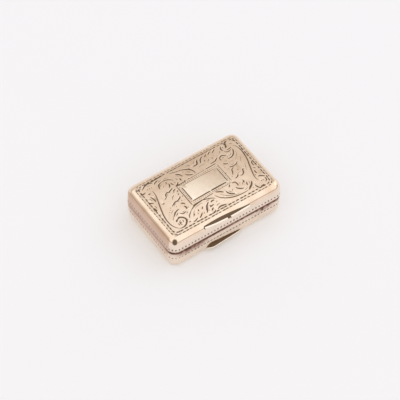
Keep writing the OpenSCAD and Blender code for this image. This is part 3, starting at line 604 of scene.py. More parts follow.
    def ring(self, reach):
        """Closed outline of plan points at a reach outwards from the corner axes."""
        points = []
        for angle, run, away, ahead, corner in self.sides():
            for share in np.linspace(0, 1, max(2, round(run / RUN_STEP)), endpoint=False):
                points.append(corner - ahead * run * (1 - share) + away * reach)
            for share in np.linspace(0, 1, CORNER_STEPS, endpoint=False):
                turn = angle + share * math.pi / 2
                points.append(corner + reach * np.array((math.cos(turn), math.sin(turn))))
        return [tuple(point) for point in points]


# Cuts

def smooth_run(points):
    """Even samples of a curve through given points."""
    points = [np.array(point, float) for point in points]
    padded = [2 * points[0] - points[1]] + points + [2 * points[-1] - points[-2]]
    run = []
    for a, b, c, d in zip(padded, padded[1:], padded[2:], padded[3:]):
        count = max(2, math.ceil(np.linalg.norm(c - b) / SAMPLE_STEP))
        for t in np.linspace(0, 1, count, endpoint=False):
            run.append(b + 0.5 * t * (c - a + t * (2 * a - 5 * b + 4 * c - d
                                                   + t * (3 * (b - c) + d - a))))
    run.append(points[-1])
    return np.array(run)


class Cut:
    """A tapered V cut along a run of points."""

    def __init__(self, width, points, even=False):
        self.run = smooth_run(points)
        share = np.linspace(0, 1, len(self.run))
        taper = np.minimum(1, 8 * np.minimum(share, 1 - share)) if even else np.sin(math.pi * share)
        self.half = width / 2 * np.maximum(taper, 0) ** 0.45

    def lines(self):
        """The cut's two edges and its bottom, as runs of points."""
        ahead = np.gradient(self.run, axis=0)
        ahead /= np.maximum(np.linalg.norm(ahead, axis=1), 1e-9)[:, None]
        aside = np.column_stack((-ahead[:, 1], ahead[:, 0])) * self.half[:, None]
        return [self.run + aside, self.run, self.run - aside]

    def depth(self, points):
        """How deep each point lies in this cut."""
        deep = np.zeros(len(points))
        reach = self.half.max()
        near = np.all((points > self.run.min(0) - reach) & (points < self.run.max(0) + reach), 1)
        where = np.nonzero(near)[0]
        if not len(where):
            return deep
        for a, b, wa, wb in zip(self.run, self.run[1:], self.half, self.half[1:]):
            step = b - a
            t = np.clip((points[where] - a) @ step / max(step @ step, 1e-12), 0, 1)
            gap = np.linalg.norm(points[where] - a - np.outer(t, step), axis=1)
            here = CUT_SLOPE * (wa + (wb - wa) * t - gap)
            deep[where] = np.maximum(deep[where], here)
        return deep


class Dot(Cut):
    """A punched dot, round or stretched along its row."""

    def __init__(self, width, place, stretch=1.0):
        turns = np.linspace(0, 2 * math.pi, 9)
        self.centre = np.array(place, float)
        self.radius = width / 2
        self.stretch = np.array((stretch, 1.0))
        rim = np.column_stack((np.cos(turns), np.sin(turns))) * self.radius
        self.run = self.centre + rim * self.stretch

    def lines(self):
        return [self.run, np.array([self.run[0], self.centre, self.run[4]])]

    def depth(self, points):
        gap = np.linalg.norm((points - self.centre) / self.stretch, axis=1)
        return np.clip(CUT_SLOPE * (self.radius * 0.98 - gap), 0, None)


def dash_ring(low, high, radius, pitch, length, width):
    """Dashes round a rounded rectangle, on a fine guide line."""
    (x0, y0), (x1, y1) = low, high
    corner_turns = [((x1 - radius, y0 + radius), -90), ((x1 - radius, y1 - radius), 0),
                    ((x0 + radius, y1 - radius), 90), ((x0 + radius, y0 + radius), 180)]
    path = []
    for (cx, cy), turn in corner_turns:
        for step in np.linspace(0, 90, 9):
            angle = math.radians(turn + step)
            path.append((cx + radius * math.cos(angle), cy + radius * math.sin(angle)))
    path = np.array(path + path[:1])
    along = np.concatenate(([0], np.cumsum(np.linalg.norm(np.diff(path, axis=0), axis=1))))
    count = round(along[-1] / pitch)
    dashes = []
    for index in range(count):
        wander = math.sin(index * BORDER_TURN) * BORDER_WANDER
        marks = (index + wander) * along[-1] / count + np.linspace(0, length * (1 + wander), 3)
        marks = marks % along[-1]
        run = np.column_stack([np.interp(marks, along, path[:, axis]) for axis in (0, 1)])
        worn = run[1, 1] > WORN_BACK or abs(run[1, 0]) > WORN_ENDS
        dashes.append(Cut(width * (WORN_WIDTH if worn else 1.0) * (1 + wander), run, even=True))
    dashes.append(Cut(GUIDE_WIDTH, path, even=True))
    return dashes


def border_cuts():
    return [cut for border in BORDERS for cut in dash_ring(*border)]


def cartouche_cuts():
    """Lines of the polished panel, and the rows of small punches in the band round it."""
    cuts = [Cut(width, ends, even=True) for width, *ends in CARTOUCHE_LINES]
    for a, b, count in PUNCH_ROWS:
        a, b = np.array(a), np.array(b)
        cuts.extend(Dot(PUNCH_WIDTH, a + (b - a) * (index + 0.5) / count) for index in range(count))
    return cuts


def lid_cuts():
    cuts = [Cut(width * CUT_SPREAD, points)
            for group in SCROLL_CUTS.values() for width, *points in group]
    for width, *places in PUNCHED_DOTS:
        cuts.extend(Dot(width, place) for place in places)
    return cuts + border_cuts() + cartouche_cuts()


# Objects

# Points nearer than this are one point, in metres
WELD = 1e-7


def add_piece(name, data):
    """A new object of some data, in the scene."""
    piece = bpy.data.objects.new(name, data)
    bpy.context.scene.collection.objects.link(piece)
    return piece


def shell_piece(name, shell):
    """A new object of a finished shell."""
    mesh = bpy.data.meshes.new(name)
    shell.to_mesh(mesh)
    shell.free()
    return add_piece(name, mesh)


def select_only(piece):
    bpy.ops.object.select_all(action="DESELECT")
    piece.select_set(True)
    bpy.context.view_layer.objects.active = piece


def soften(piece, angle=math.radians(13)):
    """Smooth shading that keeps edges sharper than the angle."""
    select_only(piece)
    bpy.ops.object.shade_smooth_by_angle(angle=angle)


def dress(piece, body, slot, materials, *nodes):
    """Gives a piece its finishes, its body and the solids that it stands for."""
    for material in materials:
        piece.data.materials.append(material)
    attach(piece, body)
    if nodes:
        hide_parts(*nodes)


# Sheets

# Step of the plates' wide grid, and how far it goes out from the corner axes
GRID_STEP = 0.9
GRID_SHARE = 0.9
# What the triangulation keeps, which is what lies inside the outline, and its closeness
INSIDE_ONLY = 1
CLOSENESS = 1e-5


def triangulate(outline, lines):
    """Points and triangles of an outline that keep every line, and where each point given went."""
    points, edges = [], []
    for run in [outline, *lines]:
        first = len(points)
        points.extend(Vector((float(x), float(y))) for x, y in run)
        edges.extend((first + i, first + i + 1) for i in range(len(run) - 1))
        if run is outline:
            edges.append((len(points) - 1, first))
    made, _, faces, sources, *_ = delaunay_2d_cdt(points, edges, [], INSIDE_ONLY, CLOSENESS)
    flat = np.array([tuple(point) for point in made])
    became = {source: index for index, found in enumerate(sources) for source in found}
    return flat, np.array([tuple(face) for face in faces]), became


def plate_lines(skin, edge):
    """Lines that let a plate follow its dome and its shoulder: rings, and a wide grid."""
    reaches = np.linspace(edge, skin.core_u, SHOULDER_STEPS)[1:]
    rings = [skin.ring(reach) for reach in reaches]
    lines = [ring + ring[:1] for ring in rings]
    half = skin.core + skin.core_u * GRID_SHARE
    columns, rows = (np.linspace(-side, side, round(side / GRID_STEP)) for side in skin.core)
    lines.extend([(x, y) for y in np.linspace(-half[1], half[1], len(rows))] for x in columns)
    lines.extend([(x, y) for x in np.linspace(-half[0], half[0], len(columns))] for y in rows)
    return lines


def panel_lines():
    """Rows along the polished panel that let it bow, close at its long edges."""
    low, high = np.array(PANEL_LOW), np.array(PANEL_HIGH)
    middle, half = (low + high) / 2, (high - low) / 2
    falls = np.sqrt(1 - np.linspace(0.1, 1, 4) / PANEL_FLATNESS)
    rows = middle[1] + half[1] * np.array([*-falls, -0.5, 0, 0.5, *falls])
    columns = np.linspace(low[0], high[0], 40)[1:-1]
    return [[(x, y) for x in columns] for y in rows]


def engraved_sheet(name, outline, surface, cuts, rings, flip, seam=None, dirt=None, spot=None,
                   panel=False):
    """A closed sheet: front with its cuts, plain back, and edges that join the two.

    surface places flat points by their depth, on the front or inside. seam is the pair of
    first-coordinate values where a sheet that goes right round meets itself, dirt gives the brown
    on the front's points besides the dirt in the cuts, spot gives a painted dark reflection as
    dark as that dirt, and panel says whether the sheet has the polished panel.
    """
    cut_lines = [line for cut in cuts for line in cut.lines()]
    shell = bmesh.new()
    cut_layer = shell.verts.layers.float.new("cut")
    seam_layer = shell.verts.layers.float.new("seam")
    edges = []
    for inside, lines in ((False, cut_lines), (True, [])):
        flat, faces, became = triangulate(outline, rings + lines)
        depth = grime_and_shade = brown = np.zeros(len(flat))
        polished = np.zeros(len(faces), bool)
        if not inside:
            for cut in cuts:
                depth = np.maximum(depth, cut.depth(flat))
            grime_and_shade = np.clip(depth / DIRTY_DEPTH, 0, 1)
            # A painted dark reflection, as dark as the dirt in the cuts
            if spot:
                grime_and_shade = np.maximum(grime_and_shade, spot(flat))
            if dirt:
                brown = dirt(flat)
            if panel:
                middles = flat[faces].mean(axis=1)
                polished = np.all((middles > PANEL_LOW) & (middles < PANEL_HIGH), axis=1)
        verts = [shell.verts.new(place) for place in surface(flat, depth, inside)]
        for vert, value, share in zip(verts, grime_and_shade, brown):
            vert[cut_layer] = value
            vert[seam_layer] = share
        for face, bright in zip(faces, polished):
            made = shell.faces.new([verts[i] for i in (face if inside == flip else face[::-1])])
            made.material_index = 1 if inside else 2 if bright else 0
        edges.append({source: verts[index] for source, index in became.items()})
    for index, point in enumerate(outline):
        after = (index + 1) % len(outline)
        if seam and point[0] == outline[after][0] and point[0] in seam:
            continue
        corners = [edges[0][after], edges[0][index], edges[1][index], edges[1][after]]
        shell.faces.new(corners[::-1] if flip else corners)
    bmesh.ops.remove_doubles(shell, verts=shell.verts, dist=WELD)
    loose = [vert for vert in shell.verts if not vert.link_faces]
    bmesh.ops.delete(shell, geom=loose, context="VERTS")
    piece = shell_piece(name, shell)
    soften(piece)
    return piece


# Finishes

POLISHED = 0.07
GILDED = 0.24
# Scales of the patterns, in cells per metre
CLOUD_SCALE = 260
BLOTCH_SCALE = 1100
FINE_SCALE = 900
SCRATCH_SCALE = 500
SCRATCH_STRETCH = (1.0, 22.0, 8.0)
PORE_SCALE = 1400
TINT_SCALE = 500
# The way across the panel in which a painted reflection darkens it towards the back right, scaled
# to go from 0 to 1
PANEL_SHEEN_SLANT = (50.0, 60.0, 0.0)


def finish(name):
    """A new node material, with its node tree, its shader and object coordinates."""
    material = bpy.data.materials.new(name)
    material.use_nodes = True
    tree = material.node_tree
    shader = tree.nodes["Principled BSDF"]
    place = tree.nodes.new("ShaderNodeTexCoord").outputs["Object"]
    return material, tree, shader, place


def feed(tree, socket, value):
    """Links a socket to an input, or sets the input to a plain value."""
    if isinstance(value, bpy.types.NodeSocket):
        tree.links.new(value, socket)
    else:
        socket.default_value = value


def add_node(tree, kind, inputs=None, **settings):
    """A node with its settings and its inputs, where an input may be a socket to link."""
    node = tree.nodes.new(kind)
    for key, value in settings.items():
        setattr(node, key, value)
    for key, value in (inputs or {}).items():
        feed(tree, node.inputs[key], value)
    return node


def calc(tree, operation, first, second, clamp=False):
    return add_node(tree, "ShaderNodeMath", {0: first, 1: second}, operation=operation,
                    use_clamp=clamp).outputs[0]


def along_way(tree, place, way):
    return add_node(tree, "ShaderNodeVectorMath", {0: place, 1: way},
                    operation="DOT_PRODUCT").outputs["Value"]


def noise(tree, place, scale, detail=3.0, stretch=None):
    """Noise at a scale in cells per metre, stretched along the axes where asked."""
    if stretch:
        place = add_node(tree, "ShaderNodeMapping", {"Vector": place, "Scale": stretch}).outputs[0]
    made = add_node(tree, "ShaderNodeTexNoise", {"Vector": place, "Scale": scale, "Detail": detail})
    return made.outputs["Fac"]


def spread(tree, value, low, high, to_low=0.0, to_high=1.0, kind="LINEAR"):
    made = add_node(tree, "ShaderNodeMapRange", {
        "Value": value, "From Min": low, "From Max": high, "To Min": to_low, "To Max": to_high},
        interpolation_type=kind)
    return made.outputs[0]


def blend(tree, share, first, second):
    made = add_node(tree, "ShaderNodeMix", data_type="RGBA")
    for socket, value in zip([s for s in made.inputs if s.enabled], (share, first, second)):
        feed(tree, socket, value)
    return [s for s in made.outputs if s.enabled][0]


def opaque(colour):
    return (*colour, 1.0)


def worn_metal(name, look, colour, tone, polish, sheen_slant=None):
    """Polished metal with cloudy tone, fine scratches, dirt in its cuts and at its seam, and
    painted shade where the thumb lips set their cut layer.

    slant is a direction, scaled to go from 0 to 1, in which a painted reflection deepens the tone
    besides its clouds.
    """
    _, tree, shader, place = finish(name)
    cloud = spread(tree, noise(tree, place, CLOUD_SCALE, 4), 0.45, 0.85)
    if sheen_slant:
        cloud = calc(tree, "ADD", along_way(tree, place, sheen_slant), cloud)
        cloud = spread(tree, cloud, 0.0, 0.85)
    body = blend(tree, cloud, opaque(colour), opaque(tone))
    cut, seam = (add_node(tree, "ShaderNodeAttribute", attribute_name=layer).outputs["Fac"]
                 for layer in ("cut", "seam"))
    blotch = spread(tree, noise(tree, place, BLOTCH_SCALE, 3), 0.35, 0.65, 0.65, 1.25)
    seam = calc(tree, "MULTIPLY", seam, blotch, clamp=True)
    body = blend(tree, spread(tree, seam, 0.0, 0.5), body, opaque(look.seam_stain))
    body = blend(tree, spread(tree, seam, 0.5, 1.0), body, opaque(look.seam_dirt))
    # On the thumb lips the cut layer holds painted shade, which takes this same dirt colour
    dirt_and_shade = spread(tree, cut, 0.05, 0.7)
    feed(tree, shader.inputs["Base Color"], blend(tree, dirt_and_shade, body, opaque(look.cut_dirt_and_lip_shade)))
    grime_and_shade = calc(tree, "MAXIMUM", dirt_and_shade, seam)
    feed(tree, shader.inputs["Metallic"], spread(tree, grime_and_shade, 0, 1, 1.0, 0.0))
    feed(tree, shader.inputs["Specular IOR Level"], 0.2)
    rough = spread(tree, noise(tree, place, FINE_SCALE, 5), 0.3, 0.75, polish, polish + 0.1)
    rough = calc(tree, "MAXIMUM", rough, grime_and_shade)
    feed(tree, shader.inputs["Roughness"], calc(tree, "MINIMUM", rough, 0.85))
    scratch = noise(tree, place, SCRATCH_SCALE, 2, SCRATCH_STRETCH)
    bump = add_node(tree, "ShaderNodeBump", {
        "Height": scratch, "Strength": 0.12, "Distance": 0.00002})
    feed(tree, shader.inputs["Normal"], bump.outputs[0])


def sponge_finish(colour):
    """Dry natural sponge, with painted shade in its pores."""
    _, tree, shader, place = finish("natural sponge")
    pores = add_node(tree, "ShaderNodeTexVoronoi", {"Vector": place, "Scale": PORE_SCALE})
    tint = noise(tree, place, TINT_SCALE, 4)
    # The pores are painted darker, as the shade inside them
    dark = tuple(0.35 * c for c in colour)
    pale = tuple(min(1, 1.3 * c) for c in colour)
    hole = spread(tree, pores.outputs["Distance"], 0.1, 0.45)
    body = blend(tree, tint, opaque(colour), opaque(pale))
    feed(tree, shader.inputs["Base Color"], blend(tree, hole, opaque(dark), body))
    feed(tree, shader.inputs["Roughness"], 0.95)
    bump = add_node(tree, "ShaderNodeBump", {"Height": hole, "Strength": 0.6, "Distance": 0.0002})
    feed(tree, shader.inputs["Normal"], bump.outputs[0])


def finishes(*names):
    """The finishes of these names, all of which are made at the first call."""
    if "worn silver" not in bpy.data.materials:
        look = bpy.context.scene.vinaigrette_finish
        dull = tuple(0.86 * c for c in look.sides)
        warm = tuple(0.8 * c for c in look.gilt)
        worn_metal("worn silver", look, look.silver, look.tarnish, POLISHED)
        # Pale silver: the painted brighter copy of the silver, for the walls
        worn_metal("pale silver", look, look.sides, dull, POLISHED)
        worn_metal("soft gilding", look, look.gilt, warm, GILDED)
        sponge_finish(look.sponge)
        # Rubbed silver: partly thumb wear, partly a painted highlight on the lips
        worn_metal("rubbed silver", look, look.rubbed, look.sides, POLISHED)
        # The panel's finish carries a painted reflection that darkens towards the back right
        worn_metal("polished panel", look, look.panel, look.silver, POLISHED, PANEL_SHEEN_SLANT)
    return [bpy.data.materials[name] for name in names]


# Pieces

def plate_piece(name, skin, cuts, rows=(), **options):
    """A plate with its cuts and its rolled shoulder."""
    edge = skin.core_u + skin.shoulder * (math.pi / 2 - skin.lean)
    return engraved_sheet(name, skin.ring(edge), skin.plate, cuts,
                          plate_lines(skin, edge) + list(rows), skin.side < 0, **options)


class VINAIGRETTE_OT_lid_top(bpy.types.Operator):
    """Make the engraved plate of the lid with its rolled shoulder"""
    bl_idname = "vinaigrette.lid_top"
    bl_label = "Engraved lid"

    def execute(self, context):
        skin = Skin(context.scene.vinaigrette_form, "lid_top", "lid_wall", 1)
        piece = plate_piece("engraved_lid_top", skin, lid_cuts(), panel_lines(),
                            spot=skin.corner_spot, panel=True)
        metals = finishes("worn silver", "soft gilding", "polished panel")
        dress(piece, "lid", "silver", metals, "lid_top")
        return {"FINISHED"}


class VINAIGRETTE_OT_base_bottom(bpy.types.Operator):
    """Make the underside with its rolled shoulder and dash border"""
    bl_idname = "vinaigrette.base_bottom"
    bl_label = "Underside"

    def execute(self, context):
        skin = Skin(context.scene.vinaigrette_form, "base_bottom", "base_wall", -1)
        piece = plate_piece("worn_base_bottom", skin, border_cuts())
        dress(piece, "base", "silver", finishes("pale silver", "soft gilding"), "base_bottom")
        return {"FINISHED"}


BASE_KNUCKLES = ["base_hinge_knuckle_" + place for place in ("left", "middle", "right")]
LID_KNUCKLES = ["lid_hinge_knuckle_" + place for place in ("left", "right")]
# Room round a wall's own knuckles and round the other half's, and at the ends of both
OWN_ROOM, OTHER_ROOM, END_ROOM = 0.02, 0.15, 0.06
# Dashes of the lid's and the base's walls: width and stretch
LID_DASH, BASE_DASH = (0.76, 1.0), (0.86, 1.05)
# How far their width wanders, and the turn from dash to dash
DASH_WANDER, DASH_TURN = 0.08, 1.7
# Stretch of the base's dash line that rubbing has thinned, from the middle of the front
FAINT_FROM, FAINT_TO, FAINT_WIDTH = -20, -14, 0.65
# Metal left between a notch and a dash, a ring of the rim, and a station
DASH_ROOM, RING_ROOM, STATION_ROOM = 0.08, 0.02, 0.01
RIM_STEPS = 9


def hinge_notches(skin, own, other):
    """Notches in a wall's rim for the knuckles: start, end and height."""
    notches = []
    back_start = skin.runs()[0] + skin.bend
    middle = back_start + skin.core[0]
    for node in own + other:
        low, high = box_mm(node)
        radius = (high.z - low.z) / 2 + (OWN_ROOM if node in own else OTHER_ROOM)
        axis_out = (low.y + high.y) / 2 - skin.core[1] - skin.corner
        rise = math.sqrt(radius ** 2 - axis_out ** 2)
        ends = round(middle - high.x - END_ROOM, 4), round(middle - low.x + END_ROOM, 4)
        notches.append((*ends, rise))
    return sorted(notches)


def rim_run(skin, stations, notches):
    """The rim's points in order, with neighbouring notches run together where they meet."""
    starts = {a: rise for a, _, rise in notches}
    ends = {b: rise for _, b, rise in notches}
    marks = {mark for mark in stations
             if not any(a - STATION_ROOM <= mark <= b + STATION_ROOM for a, b, _ in notches)}
    run = []
    for mark in sorted(marks.union(starts, ends)):
        if mark in ends:
            run.append((mark, ends[mark]))
        if mark not in starts or mark not in ends:
            run.append((mark, skin.rim))
        if mark in starts:
            run.append((mark, starts[mark]))
    return run


def split_run(marks, gaps, level):
    """A level run of points, broken where notches interrupt it."""
    kept, current = [], []
    for mark in sorted(marks + [end for gap in gaps for end in gap]):
        if any(a < mark < b for a, b in gaps):
            continue
        current.append((mark, level))
        if any(mark == a for a, _ in gaps):
            kept.append(current)
            current = []
    return [part for part in kept + [current] if len(part) > 1]


def wall_dashes(skin, pitch, height, notches):
    """The dash line round a wall."""
    usual, stretch = LID_DASH if skin.side > 0 else BASE_DASH
    girth = skin.girth()
    count = round(girth / pitch)
    dashes = []
    for index in range(count):
        mark = (index + 0.5) * girth / count
        width = usual + DASH_WANDER * math.sin(index * DASH_TURN)
        if skin.side < 0 and FAINT_FROM < mark - skin.front_middle() < FAINT_TO:
            width *= FAINT_WIDTH
        for a, b, rise in notches:
            if a - width < mark < b + width:
                width = min(width, 2 * (height - rise) - DASH_ROOM)
        dashes.append(Dot(width, (mark, height), stretch))
    return dashes


def wall_piece(name, skin, notches, cuts):
    """A wall with its cuts and its hinge notches."""
    stations = skin.stations()
    turns = np.radians(np.linspace(0, 90, RIM_STEPS))[1:]
    clear = [(a - RING_ROOM, b + RING_ROOM) for a, b, _ in notches]
    rings = []
    for level in skin.rim + skin.rim_high * (1 - np.cos(turns)):
        rings.extend(split_run(stations, clear, level))
    top = [(mark, skin.joint) for mark in reversed(stations)]
    return engraved_sheet(name, rim_run(skin, stations, notches) + top, skin.wall, cuts, rings,
                          skin.side < 0, (stations[0], stations[-1]), skin.seam_dirt)


class VINAIGRETTE_OT_walls(bpy.types.Operator):
    """Make the walls of the lid and the base with their dash lines"""
    bl_idname = "vinaigrette.walls"
    bl_label = "Walls"

    def execute(self, context):
        form = context.scene.vinaigrette_form
        pitch = form.dash_pitch / MM
        metals = finishes("pale silver", "soft gilding")
        skin = Skin(form, "lid_top", "lid_wall", 1)
        notches = hinge_notches(skin, LID_KNUCKLES, BASE_KNUCKLES)
        cuts = wall_dashes(skin, pitch, form.dash_rise / MM, notches)
        lid = wall_piece("dashed_lid_wall", skin, notches, cuts)
        dress(lid, "lid", "silver", metals, "lid_wall")
        skin = Skin(form, "base_bottom", "base_wall", -1)
        notches = hinge_notches(skin, BASE_KNUCKLES, LID_KNUCKLES)
        cuts = wall_dashes(skin, pitch, form.dash_drop / MM, notches)
        cuts.extend(Dot(width, (skin.front_middle() + x, drop)) for width, x, drop in STAINS)
        base = wall_piece("dashed_base_wall", skin, notches, cuts)
        dress(base, "base", "silver", metals, "base_wall")
        return {"FINISHED"}


LIP_STEPS = 33
LIP_FIT = 0.97
LIP_SHADE_ANGLE = math.radians(40)
# How far a lip's back is set into the wall, and how deep its nick goes
LIP_SET_IN = 0.3
NICK_DEPTH = 0.3


def thumb_lip(name, node, skin, swell, bead, cove=0.0, tilt=0.0, notch=0.0):
    """A thumb lip: a ledge with painted shade on it, and a paler silver that is partly thumb wear
    and partly a painted highlight on its front edge.

    swell gives the reach's share from the left end at 0 to the right end at 1, bead is the front
    edge's bevel, cove the ledge's rise to the wall, and notch the half-width of a nick at the
    box's middle.
    """
    low, high = box_mm(node)
    size, middle = high - low, (high + low) / 2
    turn = math.cos(tilt) ** 2 - math.sin(tilt) ** 2
    half = LIP_FIT * (size.x * math.cos(tilt) - size.z * math.sin(tilt)) / turn / 2
    thick = (size.z * math.cos(tilt) - size.x * math.sin(tilt)) / turn
    shell = bmesh.new()
    layer = shell.verts.layers.float.new("cut")
    marks = list(half * np.sin(np.linspace(-math.pi / 2, math.pi / 2, LIP_STEPS)))
    if notch:
        marks.extend(notch * np.array((-1.0, -0.75, 0.0, 0.75, 1.0)) - middle.x)
    rows = []
    for x in sorted(marks):
        z0 = middle.z - thick / 2 - x * math.tan(tilt)
        z1 = z0 + thick
        wall = skin.front_y(z1)
        share = min(1.0, max(0.0, (x + half) / (2 * half)))
        reach = max(0.02, (wall - low.y) * swell(share))
        rise = z1 + cove * (1 - (2 * share - 1) ** 2)
        nick = bool(notch) and abs(middle.x + x) < 0.9 * notch
        end = abs(x) > 0.999 * half
        front = wall - reach + (NICK_DEPTH if nick else 0.0)
        edge = min(bead, 0.6 * reach)
        inner = skin.front_y(z0) + LIP_SET_IN
        # The front faces stay clean, and the nick in the middle is painted dark as shade
        rubbed = 1.0 if nick else 0.0
        # Each point's last value is painted shade: the underside and lower edge dark as the shadow
        # under the lip, the ledge dark as the shade and dark reflection on it
        section = [
            (inner, z0, 0.6),
            (min(front + 0.08, inner), z0, 0.6),
            (front, z0 + 0.12, 1.0 if nick else 0.12),
            (front, z1 - edge, rubbed),
        ]
        for part, bulge in ((0.33, 0.07), (0.67, 0.07), (1.0, 0.0)):
            section.append((front + edge * (part - bulge), z1 - edge * (1 - part - bulge), rubbed))
        section.extend([
            (min(front + edge + 0.05, wall), z1 - 0.03, 1.0),
            (skin.front_y(rise) - 0.03, rise, 1.0),
            (skin.front_y(rise) + LIP_SET_IN, rise, 1.0),
        ])
        row = []
        for y, z, grime_and_shade in section:
            vert = shell.verts.new(Vector((middle.x + x, y, z)) * MM)
            # The lip's ends are painted dark as shadow
            vert[layer] = 1.0 if end else grime_and_shade
            row.append(vert)
        rows.append(row)
    for a, b in zip(rows, rows[1:]):
        for i in range(len(a)):
            k = (i + 1) % len(a)
            shell.faces.new((a[i], a[k], b[k], b[i]))
    shell.faces.new(reversed(rows[0]))
    shell.faces.new(rows[-1])
    bmesh.ops.recalc_face_normals(shell, faces=shell.faces)
    piece = shell_piece(name, shell)
    soften(piece, LIP_SHADE_ANGLE)
    return piece


class VINAIGRETTE_OT_lips(bpy.types.Operator):
    """Make the two thumb lips at the front"""
    bl_idname = "vinaigrette.lips"
    bl_label = "Thumb lips"

    def execute(self, context):
        form = context.scene.vinaigrette_form
        metals = finishes("rubbed silver")
        skin = Skin(form, "lid_top", "lid_wall", 1)
        lid = thumb_lip("lid_lip", "lid_thumb_lip", skin, lambda t: 1 - 0.4 * (2 * t - 1) ** 2,
                        bead=0.42, cove=0.3, tilt=form.lip_tilt, notch=0.55)
        dress(lid, "lid", "silver", metals, "lid_thumb_lip")
        skin = Skin(form, "base_bottom", "base_wall", -1)
        base = thumb_lip("base_lip", "base_thumb_lip", skin, lambda t: (
            min(1, 6 * t) ** 0.6 * min(1, 10 - 10 * t) ** 0.5 * (1.62 - 1.1 * t)), bead=0.12)
        dress(base, "base", "silver", metals, "base_thumb_lip")
        return {"FINISHED"}


# Faces nearer to flat than this are joined, edges sharper than the next are rounded, and those
# sharper than the last stay edges in the shading
JOIN_ANGLE, WEAR_ANGLE, SHADE_ANGLE = (math.radians(turn) for turn in (1, 35, 30))
# Solids that the other operators make afresh
REMADE = {"lid_top", "lid_wall", "base_wall", "base_bottom", "sponge", "lid_thumb_lip",
          "base_thumb_lip"}


def softened_copy(node, width):
    """A copy of a solid with its triangles joined and its sharp edges rounded by wear."""
    mesh = frame["nodes"][node].data.copy()
    mesh.materials.clear()
    if "custom_normal" in mesh.attributes:
        mesh.attributes.remove(mesh.attributes["custom_normal"])
    piece = add_piece("worn_" + node, mesh)
    select_only(piece)
    bpy.ops.object.mode_set(mode="EDIT")
    bpy.ops.mesh.select_all(action="SELECT")
    bpy.ops.mesh.remove_doubles(threshold=WELD)
    bpy.ops.mesh.dissolve_limited(angle_limit=JOIN_ANGLE)
    bpy.ops.object.mode_set(mode="OBJECT")
    rounding = piece.modifiers.new("worn edges", "BEVEL")
    rounding.width = width
    rounding.segments = 3
    rounding.limit_method = "ANGLE"
    rounding.angle_limit = WEAR_ANGLE
    bpy.ops.object.modifier_apply(modifier=rounding.name)
    soften(piece, SHADE_ANGLE)
    flat = piece.modifiers.new("flat faces", "WEIGHTED_NORMAL")
    flat.keep_sharp = True
    bpy.ops.object.modifier_apply(modifier=flat.name)
    return piece


class VINAIGRETTE_OT_fittings(bpy.types.Operator):
    """Round the edges of the bezel, the hinge and the grille with its fittings"""
    bl_idname = "vinaigrette.fittings"
    bl_label = "Bezel, hinge and grille"

    def execute(self, context):
        metals = {"silver": finishes("pale silver"), "silver_gilt": finishes("soft gilding")}
        width = context.scene.vinaigrette_form.edge_round
        bodies = frame["record"]["behaviour"]["bodies"]
        slots = {part["node"]: part["material_slot"] for part in frame["record"]["subparts"]}
        for body, nodes in bodies.items():
            for node in nodes:
                if node not in REMADE:
                    piece = softened_copy(node, width)
                    dress(piece, body, slots[node], metals[slots[node]], node)
        return {"FINISHED"}


SPONGE_FIT = 0.985
SPONGE_ROUND = 0.9 * MM
SPONGE_GRID = 0.28 * MM
PORE_WIDTH = 0.9 * MM
PORE_DEPTH = 0.6 * MM


class VINAIGRETTE_OT_sponge(bpy.types.Operator):
    """Make the porous sponge under the grille"""
    bl_idname = "vinaigrette.sponge"
    bl_label = "Sponge"

    def execute(self, context):
        low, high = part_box("sponge")
        middle, size = (low + high) / 2, high - low
        bpy.ops.object.select_all(action="DESELECT")
        bpy.ops.mesh.primitive_cube_add(size=1, location=middle, scale=size * SPONGE_FIT)
        piece = context.object
        piece.name = "porous_sponge"
        bpy.ops.object.transform_apply(location=True, rotation=True, scale=True)
        bpy.ops.object.mode_set(mode="EDIT")
        bpy.ops.mesh.select_all(action="SELECT")
        bpy.ops.mesh.bevel(offset=SPONGE_ROUND, segments=3, affect="EDGES")
        bpy.ops.object.mode_set(mode="OBJECT")
        grid = piece.modifiers.new("close grid", "REMESH")
        grid.mode = "VOXEL"
        grid.voxel_size = SPONGE_GRID
        bpy.ops.object.modifier_apply(modifier=grid.name)
        pores = bpy.data.textures.new("sponge pores", "VORONOI")
        pores.noise_scale = PORE_WIDTH
        pitted = piece.modifiers.new("pores", "DISPLACE")
        pitted.texture = pores
        pitted.texture_coords = "LOCAL"
        pitted.strength = PORE_DEPTH
        pitted.mid_level = 1.0
        bpy.ops.object.modifier_apply(modifier=pitted.name)
        bpy.ops.object.shade_smooth()
        dress(piece, "base", "sponge", finishes("natural sponge"), "sponge")
        return {"FINISHED"}


# Stage

FRAME_PX = 400
SENSOR_MM = 36.0
# Shares of the floor's colour that it returns and that it gives, which warms its shadows
FLOOR_SHARES = ((0.656, 0.73, 0.844), (0.316, 0.236, 0.132))
FLOOR_GAP = 0.00002
# Beige card on the floor and low rail at the left, which the left side mirrors, in millimetres
CARDS = {
    "beige card": ((0.67, 0.56, 0.53),
                   [(-97, -7, 0.1), (-19, -7, 0.1), (-19, 72, 0.1), (-97, 72, 0.1)]),
    "low rail": ((0.50, 0.41, 0.37),
                 [(-120, 20, 0), (-120, 180, 0), (-120, 180, 40), (-120, 20, 40)]),
}
# The way in which the studio brightens, overhead and in front
BRIGHT_WAY = (-0.197, -0.536, 1.0)
SKY, HAZE, ROOM = (1.12, 1.12, 1.13), (0.66, 0.60, 0.54), (0.40, 0.33, 0.27)
HORIZON, BEHIND = (0.40, 0.32, 0.26), (0.86, 0.84, 0.83)
LAMP_PLACE = (0.85, 0.1, 0.55)
LAMP_SIZE = 0.7
LAMP_POWER = 0.8


